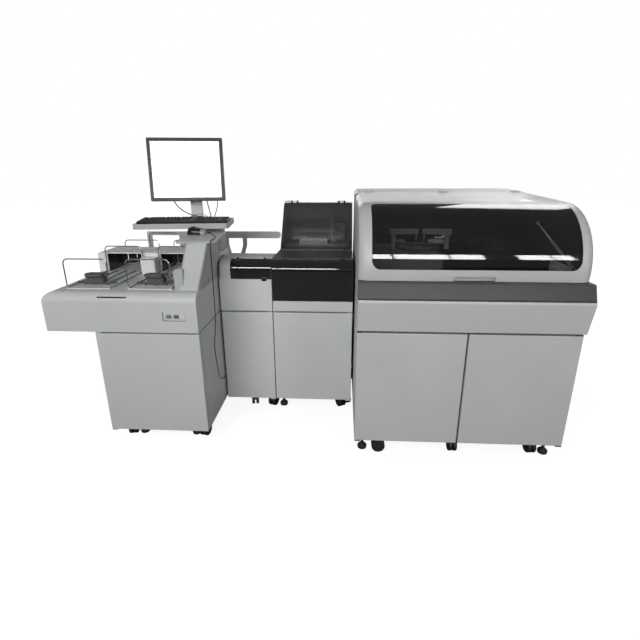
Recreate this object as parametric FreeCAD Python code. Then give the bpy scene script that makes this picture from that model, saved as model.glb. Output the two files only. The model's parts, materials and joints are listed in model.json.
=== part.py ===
import FreeCAD, Part
import math
import os
from FreeCAD import Vector

# Floor-standing clinical chemistry analyzer, in millimetres.
# Working axes: X to the right along the front, Y towards the back, Z up from the floor.
# The working origin is on the floor below the front left corner of the analyzing module.
# Every finished piece is moved so that the origin is at the bottom centre of the whole.

os.makedirs("parts", exist_ok=True)

# Shared levels and walls
cabinet_bottom = 98.0
skin = 3.0
panel_depth = 22.0
door_seal_gap = 8.0
fit_gap = 0.3
pin_gap = 0.1
module_gap = 4.0
machine_rear = 1140.0

# Door pivots: upright pins in the top and bottom edge of each door, near its front corner
hinge_pin_radius = 2.5
hinge_pin_reach = 10.0
hinge_inset = 6.0
hinge_plate = 5.0
hinge_plate_width = 24.0
door_rim = 16.0
door_edge_round = 4.0

# Analyzing module
main_width = 1031.0
main_door_top = 684.0
main_door_split = 9.0
fascia_bottom = 699.0
fascia_foot = -19.0
nose_height = 849.0
nose_reach = -51.0
stripe_bottom = 865.0
stripe_foot = -41.0
stripe_top = 930.0
stripe_head = -14.0
hood_bottom = 932.0
hood_radius = 287.0
hood_front = 14.0
hood_centre_z = 974.0
hood_slope = 2.6
hood_top_run = 531.0
hood_wall = 5.0
hood_end_round = 42.0
window_side_margin = 59.0
window_low_angle = 2.0
window_high_angle = 78.0
window_low_round = 38.0
window_high_round = 28.0
window_thickness = 4.0
grip_shift = 2.5
grip_width = 184.0
grip_height = 20.0
grip_depth = 16.0
hinge_end_left = 84.0
hinge_end_right = 73.0
hinge_knuckle = 7.0
hinge_length = 54.0
hinge_half_gap = 2.0
hinge_pin_main = 3.0
side_sheet = 14.0
frame_rear = 1096.0
shelf_front = 330.0
mid_shelf = 430.0
lane_depth = 400.0
lane_level = 905.0
deck_level = 975.0
deck_plate = 4.0
lane_front = 150.0
lane_wall_height = 26.0

# Reagent, reaction and sampling pieces on the analyzing deck
wheel_x = 365.0
wheel_y = 655.0
wheel_radius = 125.0
wheel_band = 38.0
wheel_height = 16.0
wheel_sink = 30.0
wheel_spindle = 12.0
wheel_cells = 24
carousel_from_right = 246.0
carousel_y = 622.0
carousel_radius = 168.0
carousel_height = 44.0
arm_post_radius = 13.0
arm_level = 1070.0
arm_reach = 138.0
sample_post_x = 212.0
reagent_post_x = 512.0
arm_post_y = 560.0
mixer_x = 540.0
mixer_y = 742.0
mixer_disc_x = 472.0
mixer_disc_y = 647.0
mixer_disc_radius = 49.0
mixer_level = 1010.0

# Fluid tanks and pump unit on the floor pan
tank_places = (76.0, 286.0)
tank_size = (186.0, 340.0, 236.0)
tank_front = 350.0
tank_wall = 4.0
tank_round = 22.0
neck_radius = 26.0
neck_back = 60.0
neck_rise = 26.0
pump_base_x = (590.0, 930.0)
pump_base_y = (380.0, 620.0)
pump_plate = 12.0
pump_height = 150.0
pump_inset = 14.0
pump_head_radius = 36.0
pump_head_level = 84.0
pump_pitch = 100.0

# Wash bridge over the reaction wheel and the wash wells under the arms
bridge_x = (222.0, 300.0)
bridge_y = (668.0, 732.0)
bridge_level = 1002.0
bridge_thickness = 12.0
nozzle_radius = 2.5
nozzle_pitch = 14.0
well_radius = 13.0
well_wall = 3.0
well_height = 14.0

# Gas strut of the hood
strut_from_right = 31.0
strut_foot_y = 127.0
strut_foot_z = 967.0
strut_head_y = 567.0
strut_head_z = 1131.0
strut_body_radius = 7.5
strut_rod_radius = 4.0
strut_body_length = 268.0
strut_eye_half = 6.0
strut_stud = 4.0

# Electrolyte module and rack transport module
side_front = 400.0
side_rear = 1100.0
side_gap_to_main = 13.0
side_door_top = 645.0
side_split = 655.0
electrolyte_width = 447.0
band_top = 714.0
flap_top = 940.0
flap_round = 55.0
flap_wall = 4.0
top_level = 948.0
slope_foot_y = 735.0
slope_head_y = 980.0
slope_head_z = 1221.0
cover_wall = 3.0
knuckle_radius = 3.5
knuckle_half = 8.0
knuckle_pin = 1.5
knuckle_ear = 10.0
deck_frame = 6.0
ise_post_x = -142.0
ise_post_y = 960.0
ise_post_top = 1140.0
ise_arm_level = 1027.0
ise_arm_reach = 268.0
ise_step = 22.0
ise_body_x = (-350.0, -170.0)
ise_body_y = (850.0, 990.0)
ise_body_height = 40.0
ise_pot_places = (-326.0, -300.0, -274.0)
ise_tower_x = (-110.0, -60.0)
ise_tower_y = (1000.0, 1050.0)
ise_tower_height = 120.0
transport_width = 293.0
transport_shoulder = 837.0
transport_head_rear = 600.0
transport_window_left = 66.0
transport_cover_top = 944.0
tab_x = (-518.0, -490.0)
tab_height = 18.0
service_width = 160.0
service_height = 70.0
service_level = 705.0
lane_y = (440.0, 560.0)
lane_sheet = 3.0
belt_places = (466.0, 514.0)
belt_width = 20.0
lead_inlet_y = 440.0
lead_inlet_z = 237.0
rail_left = -903.0
rail_right = -508.0
rail_y = 1078.0
rail_level = 966.0
rail_height = 44.0
rail_legs = ((-889.0, -872.0), (-760.0, -782.0))
rail_leg_half = 13.0
rail_leg_bend = 50.0

# Rack feeder
feeder_width = 523.0
feeder_gap = 10.0
feeder_front = 37.0
feeder_top = 649.0
feeder_door_top = 645.0
box_left = -1530.0
box_front = 33.0
box_bottom = 655.0
box_top = 850.0
box_round = 45.0
box_wall = 4.0
tray_left_x = -1448.0
tray_right_x = -1134.0
tray_width = 225.0
tray_front_length = 396.0
tray_rear_length = 360.0
tray_front_y = 117.0
tray_rear_y = 737.0
tray_rim = 12.0
wire_radius = 3.0
handle_height = 150.0
handle_corner = 24.0
tunnel_front = 522.0
tunnel_rear = 728.0
tunnel_top = 960.0
tunnel_left = -1502.0
tunnel_right = -779.5
tunnel_roof = 6.0
tunnel_lanes = ((-1443.0, -1240.0), (-1125.0, -960.0))
block_front = 452.0
block_top = 940.0
wall_sheet = 12.0
wall_line = ((262.0, 850.0), (275.0, 962.0), (352.0, 987.0), (685.0, 920.0), (700.0, 850.0))
gate_left = -1470.0
gate_right = -900.0
gate_front = 1112.0
gate_top = 1005.0
tower_low_x = (-880.0, -774.0)
tower_low_y = (108.0, 420.0)
tower_high_x = (-840.0, -728.0)
tower_high_y = (165.0, 380.0)
shoulder_left = -893.0
shoulder_top = 955.0
shelf_level = 1083.0
shelf_thickness = 11.0
shelf_width = 196.0
shelf_length = 392.0
shelf_corner_x = -883.0
shelf_corner_y = 152.0
button_level = 739.5
button_height = 17.0
button_width = 24.0
button_pocket = 14.0
button_places = (-905.5, -868.0, -840.0)
button_margin = 24.0
groove_x = (-936.5, -824.0)
groove_z = (716.0, 762.0)
groove_width = 4.0
slot_x = (-1252.0, -1107.0)
pusher_y = 205.0
pusher_height = 52.0

# Console
console_turn = 8.0
table_level = 1132.0
table_thickness = 30.0
table_width = 522.0
table_depth = 320.0
table_corner_x = -1232.0
table_corner_y = 440.0
keyboard_width = 498.0
keyboard_depth = 150.0
column_left = -897.0
column_right = -790.0
column_front = 604.0
column_rear = 718.0
cable_hole_x = -862.0
cable_hole_y = 690.0
cable_hole_radius = 15.0
cable_hole_depth = 40.0
mouse_x = -860.0
mouse_y = 412.0
mouse_turn = 2.0
monitor_width = 425.0
monitor_height = 352.0
monitor_bezel = 19.0
monitor_slab = 24.0
monitor_turn = 9.8
monitor_tilt = 8.0
monitor_x = -991.0
monitor_y = 722.0
monitor_z = 1413.0
monitor_axis_back = 38.0
monitor_bay = 12.0
screen_recess = 6.0
hinge_shift = 31.5
neck_x = -963.0
neck_y = 745.0
neck_width = 70.0

# Casters and levelling feet
caster_wheel_radius = 35.0
caster_lift = 2.0
caster_width = 43.0
caster_trail = 26.0
foot_radius = 25.0

# Cord diameters
mouse_lead_diameter = 4.5
keyboard_lead_diameter = 4.0
power_lead_diameter = 6.0
signal_lead_diameter = 6.0
touch_lead_diameter = 4.5
plug_level = -4.0
plug_height = 12.0
plug_gap = 0.8
power_plug_x = -104.0
power_plug = (22.0, 13.0)
signal_plug_x = 90.0
signal_plug = (24.0, 11.0)
touch_plug_x = 121.0
touch_plug = (15.0, 9.0)

# Derived places
hood_centre_y = hood_front + hood_radius
hood_hinge_y = hood_centre_y + hood_top_run
grip_centre = main_width / 2.0 + grip_shift
hinge_places = (hinge_end_left, main_width / 2.0 + 13.5, main_width - hinge_end_right)
carousel_x = main_width - carousel_from_right
strut_x = main_width - strut_from_right
electrolyte_right = -side_gap_to_main
electrolyte_left = electrolyte_right - electrolyte_width
transport_right = electrolyte_left - module_gap
transport_left = transport_right - transport_width
feeder_right = transport_left - feeder_gap
feeder_left = feeder_right - feeder_width
box_right = feeder_right
door_back_y = side_front + panel_depth
carcass_front_y = door_back_y + door_seal_gap
hood_hinge_z = (
    hood_centre_z
    + hood_radius * math.cos(math.radians(hood_slope))
    + (hood_hinge_y - hood_centre_y + hood_radius * math.sin(math.radians(hood_slope)))
    * math.tan(math.radians(hood_slope))
)

overall_low = Vector(box_left, nose_reach, 0.0)
overall_high = Vector(main_width, machine_rear, 0.0)
to_origin = (overall_low + overall_high) * -0.5

pieces = {}


def block(x, y, z):
    """Box from its low and high value along each axis."""
    return Part.makeBox(x[1] - x[0], y[1] - y[0], z[1] - z[0], Vector(x[0], y[0], z[0]))


def bar(radius, start, end):
    """Round bar between two points."""
    return Part.makeCylinder(radius, (end - start).Length, start, end - start)


def rounded_wire(corners, place):
    """Closed wire through (u, v) corners; a third value is that corner's radius."""
    count = len(corners)
    cuts = []
    for index in range(count):
        here = corners[index]
        before = corners[index - 1]
        after = corners[(index + 1) % count]
        radius = here[2] if len(here) > 2 else 0.0
        point = Vector(here[0], here[1], 0.0)
        to_before = Vector(before[0], before[1], 0.0) - point
        to_after = Vector(after[0], after[1], 0.0) - point
        to_before.normalize()
        to_after.normalize()
        if radius <= 0.0:
            cuts.append((point, point, point))
            continue
        half = to_before.getAngle(to_after) / 2.0
        reach = radius / math.tan(half)
        inward = to_before + to_after
        inward.normalize()
        centre = point + inward * (radius / math.sin(half))
        middle = centre - inward * radius
        cuts.append((point + to_before * reach, middle, point + to_after * reach))
    edges = []
    for index in range(count):
        start, middle, end = cuts[index]
        if (end - start).Length > 1e-6:
            edges.append(Part.Arc(place(start), place(middle), place(end)).toShape())
        next_start = cuts[(index + 1) % count][0]
        if (next_start - end).Length > 1e-6:
            edges.append(Part.makeLine(place(end), place(next_start)))
    return Part.Wire(edges)


def side_profile(x, corners):
    """Solid of a YZ outline between two X values."""
    wire = rounded_wire(corners, lambda p: Vector(x[0], p.x, p.y))
    return Part.Face(wire).extrude(Vector(x[1] - x[0], 0.0, 0.0))


def front_profile(y, corners):
    """Solid of an XZ outline between two Y values."""
    wire = rounded_wire(corners, lambda p: Vector(p.x, y[0], p.y))
    return Part.Face(wire).extrude(Vector(0.0, y[1] - y[0], 0.0))


def plan_profile(z, corners):
    """Solid of an XY outline between two Z values."""
    wire = rounded_wire(corners, lambda p: Vector(p.x, p.y, z[0]))
    return Part.Face(wire).extrude(Vector(0.0, 0.0, z[1] - z[0]))


def rectangle(u, v, radius=0.0):
    """Corners of a rectangle with one corner radius."""
    return [(u[0], v[0], radius), (u[1], v[0], radius), (u[1], v[1], radius), (u[0], v[1], radius)]


def fillet_where(shape, radius, chosen):
    """Fillet the edges whose middle point the test accepts."""
    edges = [edge for edge in shape.Edges if chosen(edge.CenterOfMass, edge)]
    return shape.makeFillet(radius, edges)


def joined(shapes):
    """One clean solid from touching shapes."""
    result = shapes[0]
    for shape in shapes[1:]:
        result = result.fuse(shape)
    return result.removeSplitter()


def turned(shape, angle, x, y):
    """Turn a shape about a vertical line."""
    copy = shape.copy()
    copy.rotate(Vector(x, y, 0.0), Vector(0.0, 0.0, 1.0), angle)
    return copy


def near(value, target):
    return abs(value - target) < 0.5




def hinged_door(x, front, z, hinge_x):
    """Folded sheet door with a blind pivot bore in its top and its bottom edge."""
    back = front + panel_depth
    outer = block(x, (front, back), z)
    outer = fillet_where(outer, door_edge_round, lambda p, e: near(p.y, front))
    pocket = block(
        (x[0] + door_rim, x[1] - door_rim),
        (front + skin, back + 1.0),
        (z[0] + door_rim, z[1] - door_rim),
    )
    door = outer.cut(pocket)
    axis_y = front + hinge_inset
    depth = hinge_pin_reach + fit_gap
    for low, high in ((z[0] - 1.0, z[0] + depth), (z[1] - depth, z[1] + 1.0)):
        bore = bar(hinge_pin_radius + pin_gap, Vector(hinge_x, axis_y, low), Vector(hinge_x, axis_y, high))
        door = door.cut(bore)
    return door


def hinge_brackets(front, z, hinge_x, frame_y, inward):
    """Pivot plates above and below a door, each with its pin; inward is +1 or -1 along X."""
    shapes = []
    axis_y = front + hinge_inset
    near_x = hinge_x - inward * (hinge_inset - 1.0)
    far_x = hinge_x + inward * hinge_plate_width
    seat_x = hinge_x + inward * (side_sheet - hinge_inset + 2.0 * fit_gap)
    for edge, side in ((z[0] - 0.5, -1.0), (z[1] + 0.5, 1.0)):
        low, high = sorted((edge, edge + side * hinge_plate))
        shapes.append(block(tuple(sorted((near_x, far_x))), (front + 1.0, frame_y - fit_gap), (low, high)))
        shapes.append(block(tuple(sorted((seat_x, far_x))), (frame_y - 1.0, frame_y + 1.0), (low, high)))
        tip = edge - side * (hinge_pin_reach + 0.5)
        shapes.append(bar(hinge_pin_radius, Vector(hinge_x, axis_y, edge + side), Vector(hinge_x, axis_y, tip)))
    return shapes


def main_frame():
    """Welded tube frame with its floor pan, mid shelf and the door pivots."""
    tube = 40.0
    inner = (side_sheet + fit_gap, main_width - side_sheet - fit_gap)
    front = panel_depth + door_seal_gap
    rear = frame_rear
    low = cabinet_bottom
    post_top = lane_level - deck_plate - fit_gap
    shapes = []
    for level in (low, post_top - tube):
        for y in (front, rear - tube):
            shapes.append(block(inner, (y, y + tube), (level, level + tube)))
        for x in (inner[0], inner[1] - tube):
            shapes.append(block((x, x + tube), (front, rear), (level, level + tube)))
    middle = main_width / 2.0
    for x in (inner[0], middle - tube / 2.0, inner[1] - tube):
        for y in (front, rear - tube):
            shapes.append(block((x, x + tube), (y, y + tube), (low, post_top)))
    shapes.append(block(inner, (front, rear), (low + tube, low + tube + skin)))
    shapes.append(block(inner, (shelf_front, rear), (mid_shelf, mid_shelf + skin)))
    doors = (cabinet_bottom, main_door_top)
    base_tab = (low - hinge_plate - 0.5, low + 1.0)
    shapes.append(block((inner[0], inner[0] + 16.0), (front, front + tube), base_tab))
    shapes.append(block((inner[1] - 16.0, inner[1]), (front, front + tube), base_tab))
    shapes += hinge_brackets(0.0, doors, hinge_inset, front, 1.0)
    shapes += hinge_brackets(0.0, doors, main_width - hinge_inset, front, -1.0)
    return joined(shapes)


def main_side_panel(x, inner_side):
    """Pressed side panel with a folded rim; its open side faces the frame."""
    front = panel_depth + door_seal_gap
    top = stripe_top - fit_gap
    outline = [
        (front, cabinet_bottom, 6.0),
        (front, top),
        (machine_rear - skin, top),
        (machine_rear - skin, cabinet_bottom, 6.0),
    ]
    panel = side_profile(x, outline)
    pocket_x = (x[0] + skin, x[1] + 1.0) if inner_side > 0 else (x[0] - 1.0, x[1] - skin)
    rim = 24.0
    pocket = block(
        pocket_x,
        (front + rim, machine_rear - rim),
        (cabinet_bottom + rim, stripe_top - rim),
    )
    return panel.cut(pocket)


def main_fascia():
    """Front fascia that leans out to a rounded nose, with closed ends and an open back."""
    back = panel_depth + door_seal_gap
    outer = [
        (back, fascia_bottom),
        (fascia_foot, fascia_bottom, 7.0),
        (nose_reach, nose_height, 12.0),
        (stripe_foot, stripe_bottom),
        (back, stripe_bottom),
    ]
    inner = [
        (back + 1.0, fascia_bottom + 2.0 * skin),
        (fascia_foot + 2.0 * skin, fascia_bottom + 2.0 * skin, 3.0),
        (nose_reach + skin + 0.5, nose_height, 8.0),
        (stripe_foot + skin, stripe_bottom - 2.0 * skin, 2.0),
        (back + 1.0, stripe_bottom - 2.0 * skin),
    ]
    shell = side_profile((0.0, main_width), outer)
    return shell.cut(side_profile((skin, main_width - skin), inner))


def stripe_band():
    """Inset band above the nose, folded back under the hood."""
    back = panel_depth + door_seal_gap
    outer = [
        (stripe_foot, stripe_bottom),
        (stripe_head, stripe_top, 3.0),
        (back, stripe_top),
        (back, stripe_top - skin),
        (stripe_head + skin, stripe_top - skin, 1.5),
        (stripe_foot + 2.0 * skin, stripe_bottom + skin),
        (back, stripe_bottom + skin),
        (back, stripe_bottom),
    ]
    band = side_profile((0.0, main_width), outer)
    cap = [
        (stripe_foot, stripe_bottom),
        (stripe_head, stripe_top, 3.0),
        (back, stripe_top),
        (back, stripe_bottom),
    ]
    for x in ((0.0, skin), (main_width - skin, main_width)):
        band = band.fuse(side_profile(x, cap))
    return band.removeSplitter()


def hood_outline(offset):
    """YZ outline of the hood, moved inwards by the offset; the front is one round stretch."""
    radius = hood_radius - offset
    bottom = hood_bottom - offset
    rear_y = hood_hinge_y - hinge_half_gap + offset
    slope = math.radians(hood_slope)
    low_angle = math.asin((bottom - hood_centre_z) / radius)
    high_angle = math.pi / 2.0 - slope

    def on_arc(angle):
        return Vector(
            0.0,
            hood_centre_y - radius * math.cos(angle),
            hood_centre_z + radius * math.sin(angle),
        )

    start = on_arc(low_angle)
    end = on_arc(high_angle)
    rear_high = Vector(0.0, rear_y, end.z + (rear_y - end.y) * math.tan(slope))
    rear_low = Vector(0.0, rear_y, bottom)
    edges = [
        Part.Arc(start, on_arc((low_angle + high_angle) / 2.0), end).toShape(),
        Part.makeLine(end, rear_high),
        Part.makeLine(rear_high, rear_low),
        Part.makeLine(rear_low, start),
    ]
    return Part.Wire(edges)


def hood_block(x, offset, end_round):
    """Full hood form with rounded ends."""
    wire = hood_outline(offset)
    wire.translate(Vector(x[0], 0.0, 0.0))
    form = Part.Face(wire).extrude(Vector(x[1] - x[0], 0.0, 0.0))

    def is_end_edge(point):
        at_end = near(point.x, x[0]) or near(point.x, x[1])
        rear = near(point.y, hood_hinge_y - hinge_half_gap + offset)
        return at_end and not rear and point.z > hood_bottom + 20.0

    edges = [edge for edge in form.Edges if is_end_edge(edge.CenterOfMass)]
    return form.makeFillet(end_round, edges)


def window_prism(growth, depth):
    """Rounded opening of the hood, square to the chord of its round front."""
    low = math.radians(window_low_angle)
    high = math.radians(window_high_angle)
    mean = (low + high) / 2.0
    along = Vector(0.0, math.sin(mean), math.cos(mean))
    outward = Vector(0.0, -math.cos(mean), math.sin(mean))
    half_chord = hood_radius * math.sin((high - low) / 2.0) + growth
    chord_depth = hood_radius * math.cos((high - low) / 2.0)
    centre = Vector(0.0, hood_centre_y, hood_centre_z) + outward * (chord_depth - depth)
    left = window_side_margin - growth
    right = main_width - window_side_margin + growth
    low_round = window_low_round + growth
    high_round = window_high_round + growth
    corners = [
        (left, -half_chord, low_round),
        (right, -half_chord, low_round),
        (right, half_chord, high_round),
        (left, half_chord, high_round),
    ]

    def place(point):
        return Vector(point.x, 0.0, 0.0) + centre + along * point.y

    face = Part.Face(rounded_wire(corners, place))
    return face.extrude(outward * (depth + hood_radius))


def strut_direction():
    vector = Vector(0.0, strut_head_y - strut_foot_y, strut_head_z - strut_foot_z)
    vector.normalize()
    return vector


def main_hood():
    """Moulded hood shell with its window opening, grip pocket, hinge knuckles and strut stud."""
    shell = hood_block((0.0, main_width), 0.0, hood_end_round)
    hollow = hood_block((hood_wall, main_width - hood_wall), hood_wall, hood_end_round - hood_wall)
    shell = shell.cut(hollow)
    shell = shell.cut(window_prism(0.0, 40.0))
    front_y = hood_centre_y - hood_radius
    half = grip_width / 2.0
    pocket_x = (grip_centre - half, grip_centre + half)
    lip = block(
        (pocket_x[0] - hood_wall, pocket_x[1] + hood_wall),
        (front_y + 4.0, front_y + grip_depth + 2.0 * hood_wall),
        (hood_bottom, hood_bottom + grip_height + hood_wall),
    )
    shell = shell.fuse(lip)
    pocket = front_profile(
        (front_y - 5.0, front_y + grip_depth + hood_wall),
        [
            (pocket_x[0], hood_bottom - 1.0),
            (pocket_x[1], hood_bottom - 1.0),
            (pocket_x[1], hood_bottom + grip_height, 4.0),
            (pocket_x[0], hood_bottom + grip_height, 4.0),
        ],
    )
    shell = shell.cut(pocket)
    axis = Vector(0.0, hood_hinge_y, hood_hinge_z)
    third = hinge_length / 3.0
    for place in hinge_places:
        for side in (-1.0, 1.0):
            inner = place + side * (third / 2.0 + fit_gap)
            outer = place + side * (hinge_length / 2.0)
            low, high = sorted((inner, outer))
            knuckle = bar(hinge_knuckle, axis + Vector(low, 0, 0), axis + Vector(high, 0, 0))
            leaf = block(
                (low, high),
                (hood_hinge_y - 30.0, hood_hinge_y),
                (hood_hinge_z - hinge_knuckle, hood_hinge_z - 1.0),
            )
            shell = shell.fuse(knuckle).fuse(leaf)
        relief = bar(
            hinge_knuckle + 1.0,
            axis + Vector(place - third / 2.0 - fit_gap, 0, 0),
            axis + Vector(place + third / 2.0 + fit_gap, 0, 0),
        )
        shell = shell.cut(relief)
        bore = bar(
            hinge_pin_main + pin_gap,
            axis + Vector(place - hinge_length, 0, 0),
            axis + Vector(place + hinge_length, 0, 0),
        )
        shell = shell.cut(bore)
    stud_end = strut_x + strut_eye_half + 1.0
    stud = bar(
        5.0,
        Vector(stud_end, strut_head_y, strut_head_z),
        Vector(main_width - 2.0, strut_head_y, strut_head_z),
    )
    flange = bar(
        14.0,
        Vector(main_width - hood_wall - 4.0, strut_head_y, strut_head_z),
        Vector(main_width - 2.0, strut_head_y, strut_head_z),
    )
    return shell.fuse(stud).fuse(flange).removeSplitter()


def hood_window():
    """Tinted pane bent to the hood's round front, flush in its opening."""
    outer = Part.makeCylinder(
        hood_radius - 0.4,
        main_width,
        Vector(0.0, hood_centre_y, hood_centre_z),
        Vector(1.0, 0.0, 0.0),
    )
    inner = Part.makeCylinder(
        hood_radius - 0.4 - window_thickness,
        main_width,
        Vector(0.0, hood_centre_y, hood_centre_z),
        Vector(1.0, 0.0, 0.0),
    )
    return outer.cut(inner).common(window_prism(-fit_gap, 110.0))


def main_rear_housing():
    """Rear housing: louvred back wall, top that carries the hood on three hinges, inner wall."""
    front = hood_hinge_y + hinge_half_gap
    slope = math.tan(math.radians(hood_slope))
    top_front = hood_hinge_z + hinge_half_gap * slope
    top_rear = hood_hinge_z + (machine_rear - hood_hinge_y) * slope
    low = stripe_top
    outer = side_profile(
        (0.0, main_width),
        [
            (front, low),
            (front, top_front),
            (machine_rear, top_rear, 30.0),
            (machine_rear, low),
        ],
    )

    def is_top_end(point, edge):
        at_end = near(point.x, 0.0) or near(point.x, main_width)
        return at_end and point.z > low + 1.0 and front + 1.0 < point.y

    ends = [edge for edge in outer.Edges if is_top_end(edge.CenterOfMass, edge)]
    outer = outer.makeFillet(hood_end_round - 14.0, ends)
    inner = side_profile(
        (skin + 2.0, main_width - skin - 2.0),
        [
            (front + skin, low - 1.0),
            (front + skin, top_front - skin - 4.0),
            (machine_rear - skin, top_rear - skin - 8.0, 26.0),
            (machine_rear - skin, low - 1.0),
        ],
    )
    inner = fillet_where(inner, hood_end_round - 20.0, lambda p, e: is_inner_end(p, low))
    housing = outer.cut(inner)
    back = block(
        (side_sheet + fit_gap, main_width - side_sheet - fit_gap),
        (machine_rear - skin, machine_rear),
        (cabinet_bottom + 14.0, low),
    )
    housing = housing.fuse(back)
    for centre in (0.272 * main_width, 0.727 * main_width):
        for row in range(7):
            x = centre - 110.0
            z = 330.0 + row * 26.0
            slot = front_profile(
                (machine_rear - 2.0 * skin, machine_rear + 1.0),
                rectangle((x, x + 220.0), (z, z + 9.0), 4.0),
            )
            housing = housing.cut(slot)
    third = hinge_length / 3.0
    axis = Vector(0.0, hood_hinge_y, hood_hinge_z)
    for place in hinge_places:
        for side in (-1.0, 1.0):
            inner_x = place + side * (third / 2.0 - fit_gap)
            outer_x = place + side * (hinge_length / 2.0 + fit_gap)
            low_x, high_x = sorted((inner_x, outer_x))
            relief = bar(hinge_knuckle + 1.0, axis + Vector(low_x, 0, 0), axis + Vector(high_x, 0, 0))
            housing = housing.cut(relief)
        knuckle = bar(
            hinge_knuckle,
            axis + Vector(place - third / 2.0 + fit_gap, 0, 0),
            axis + Vector(place + third / 2.0 - fit_gap, 0, 0),
        )
        leaf = block(
            (place - third / 2.0 + fit_gap, place + third / 2.0 - fit_gap),
            (hood_hinge_y, hood_hinge_y + 30.0),
            (hood_hinge_z - hinge_knuckle, hood_hinge_z + 0.5),
        )
        pin = bar(
            hinge_pin_main,
            axis + Vector(place - hinge_length / 2.0, 0, 0),
            axis + Vector(place + hinge_length / 2.0, 0, 0),
        )
        housing = housing.fuse(knuckle).fuse(leaf).fuse(pin)
    return housing.removeSplitter()


def is_inner_end(point, low):
    at_end = near(point.x, skin + 2.0) or near(point.x, main_width - skin - 2.0)
    return at_end and point.z > low + 1.0 and point.y > hood_hinge_y + hinge_half_gap + skin + 1.0


def main_deck():
    """Work deck: low rack lane in front, stepped up to the covers round the wheels."""
    inner = (side_sheet + fit_gap, main_width - side_sheet - fit_gap)
    front = 36.0
    rear = hood_hinge_y - 6.0
    outline = [
        (front, lane_level),
        (lane_depth, lane_level),
        (lane_depth, deck_level, 5.0),
        (rear, deck_level),
        (rear, deck_level - deck_plate),
        (lane_depth + deck_plate, deck_level - deck_plate),
        (lane_depth + deck_plate, lane_level - deck_plate),
        (front, lane_level - deck_plate),
    ]
    deck = side_profile(inner, outline)
    for x in (inner[0], inner[1] - deck_plate):
        rib = block((x, x + deck_plate), (lane_depth, rear), (lane_level - deck_plate, deck_level - deck_plate))
        deck = deck.fuse(rib)
    lane_wall = block(inner, (lane_front, lane_front + deck_plate), (lane_level - 1.0, lane_level + lane_wall_height))
    deck = deck.fuse(lane_wall)
    well_floor = deck_level - wheel_sink
    well = upright(wheel_x, wheel_y, wheel_radius + 3.0 + deck_plate, well_floor - deck_plate, deck_level)
    hollow = upright(wheel_x, wheel_y, wheel_radius + 3.0, well_floor, deck_level + 1.0)
    deck = deck.fuse(well).cut(hollow)
    deck = deck.fuse(upright(wheel_x, wheel_y, wheel_spindle, well_floor - 1.0, deck_level + 6.0))
    deck = deck.fuse(upright(carousel_x, carousel_y, wheel_spindle, deck_level - 1.0, deck_level + 12.0))
    for x, y in ((sample_post_x, arm_post_y), (reagent_post_x, arm_post_y), (mixer_x, mixer_y)):
        deck = deck.fuse(ring(x, y, arm_post_radius + 9.0, arm_post_radius + pin_gap, deck_level - 1.0, deck_level + 14.0))
    for x, y in wash_well_places():
        deck = deck.fuse(ring(x, y, well_radius, well_radius - well_wall, deck_level - 1.0, deck_level + well_height))
    return joined([deck, strut_foot_bracket(inner[1])] + wash_bridge())


def wash_well_places():
    """Wells on the path of each needle: one for the sampling arm, one for the reagent arm."""
    reach = arm_reach - 10.0
    half_turn = math.sqrt(0.5) * reach
    return (
        (sample_post_x + half_turn, arm_post_y - half_turn),
        (reagent_post_x, arm_post_y - reach),
    )


def wash_bridge():
    """Bridge with two rows of wash nozzles over the left rim of the reaction wheel."""
    top = bridge_level + bridge_thickness
    plate = plan_profile((bridge_level, top), rectangle(bridge_x, bridge_y, 8.0))
    shapes = [plate]
    for y in (bridge_y[0] + 12.0, bridge_y[1] - 12.0):
        shapes.append(upright(bridge_x[0] + 9.0, y, 6.0, deck_level - 1.0, bridge_level + 1.0))
    middle = (bridge_y[0] + bridge_y[1]) / 2.0
    low = deck_level + wheel_height + 2.0
    for step in range(4):
        x = bridge_x[1] - 9.0 - step * nozzle_pitch
        shapes.append(upright(x, middle, nozzle_radius, low, top + 10.0))
    return shapes


def strut_foot_bracket(right):
    """Plate on the right end of the deck with the stud that carries the strut's lower eye."""
    plate = side_profile(
        (right - 6.0, right),
        [
            (strut_foot_y - 24.0, lane_level - deck_plate),
            (strut_foot_y + 24.0, lane_level - deck_plate),
            (strut_foot_y + 12.0, strut_foot_z + 12.0, 10.0),
            (strut_foot_y - 12.0, strut_foot_z + 12.0, 10.0),
        ],
    )
    stud = bar(
        strut_stud,
        Vector(strut_x - strut_eye_half, strut_foot_y, strut_foot_z),
        Vector(right - 1.0, strut_foot_y, strut_foot_z),
    )
    return plate.fuse(stud)


def upright(x, y, radius, low, high):
    """Upright round bar."""
    return bar(radius, Vector(x, y, low), Vector(x, y, high))


def ring(x, y, outer, inner, low, high):
    """Upright ring between two heights."""
    return upright(x, y, outer, low, high).cut(upright(x, y, inner, low - 1.0, high + 1.0))


def reaction_wheel():
    """Reaction wheel: spoked hub and a rim with radial cuvette cells."""
    low = deck_level - wheel_sink + 2.0
    high = deck_level + wheel_height
    rim = ring(wheel_x, wheel_y, wheel_radius, wheel_radius - wheel_band, low, high)
    hub = ring(wheel_x, wheel_y, 26.0, wheel_spindle + pin_gap, low, high - 6.0)
    wheel = rim.fuse(hub)
    for step in range(4):
        spoke = block(
            (wheel_x + 20.0, wheel_x + wheel_radius - wheel_band + 4.0),
            (wheel_y - 9.0, wheel_y + 9.0),
            (low, low + 8.0),
        )
        wheel = wheel.fuse(turned(spoke, 45.0 + 90.0 * step, wheel_x, wheel_y))
    for step in range(wheel_cells):
        cell = block(
            (wheel_x + wheel_radius - 14.0, wheel_x + wheel_radius - 6.0),
            (wheel_y - 4.0, wheel_y + 4.0),
            (high - 9.0, high + 1.0),
        )
        wheel = wheel.cut(turned(cell, 360.0 * step / wheel_cells, wheel_x, wheel_y))
    return wheel.removeSplitter()


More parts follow.
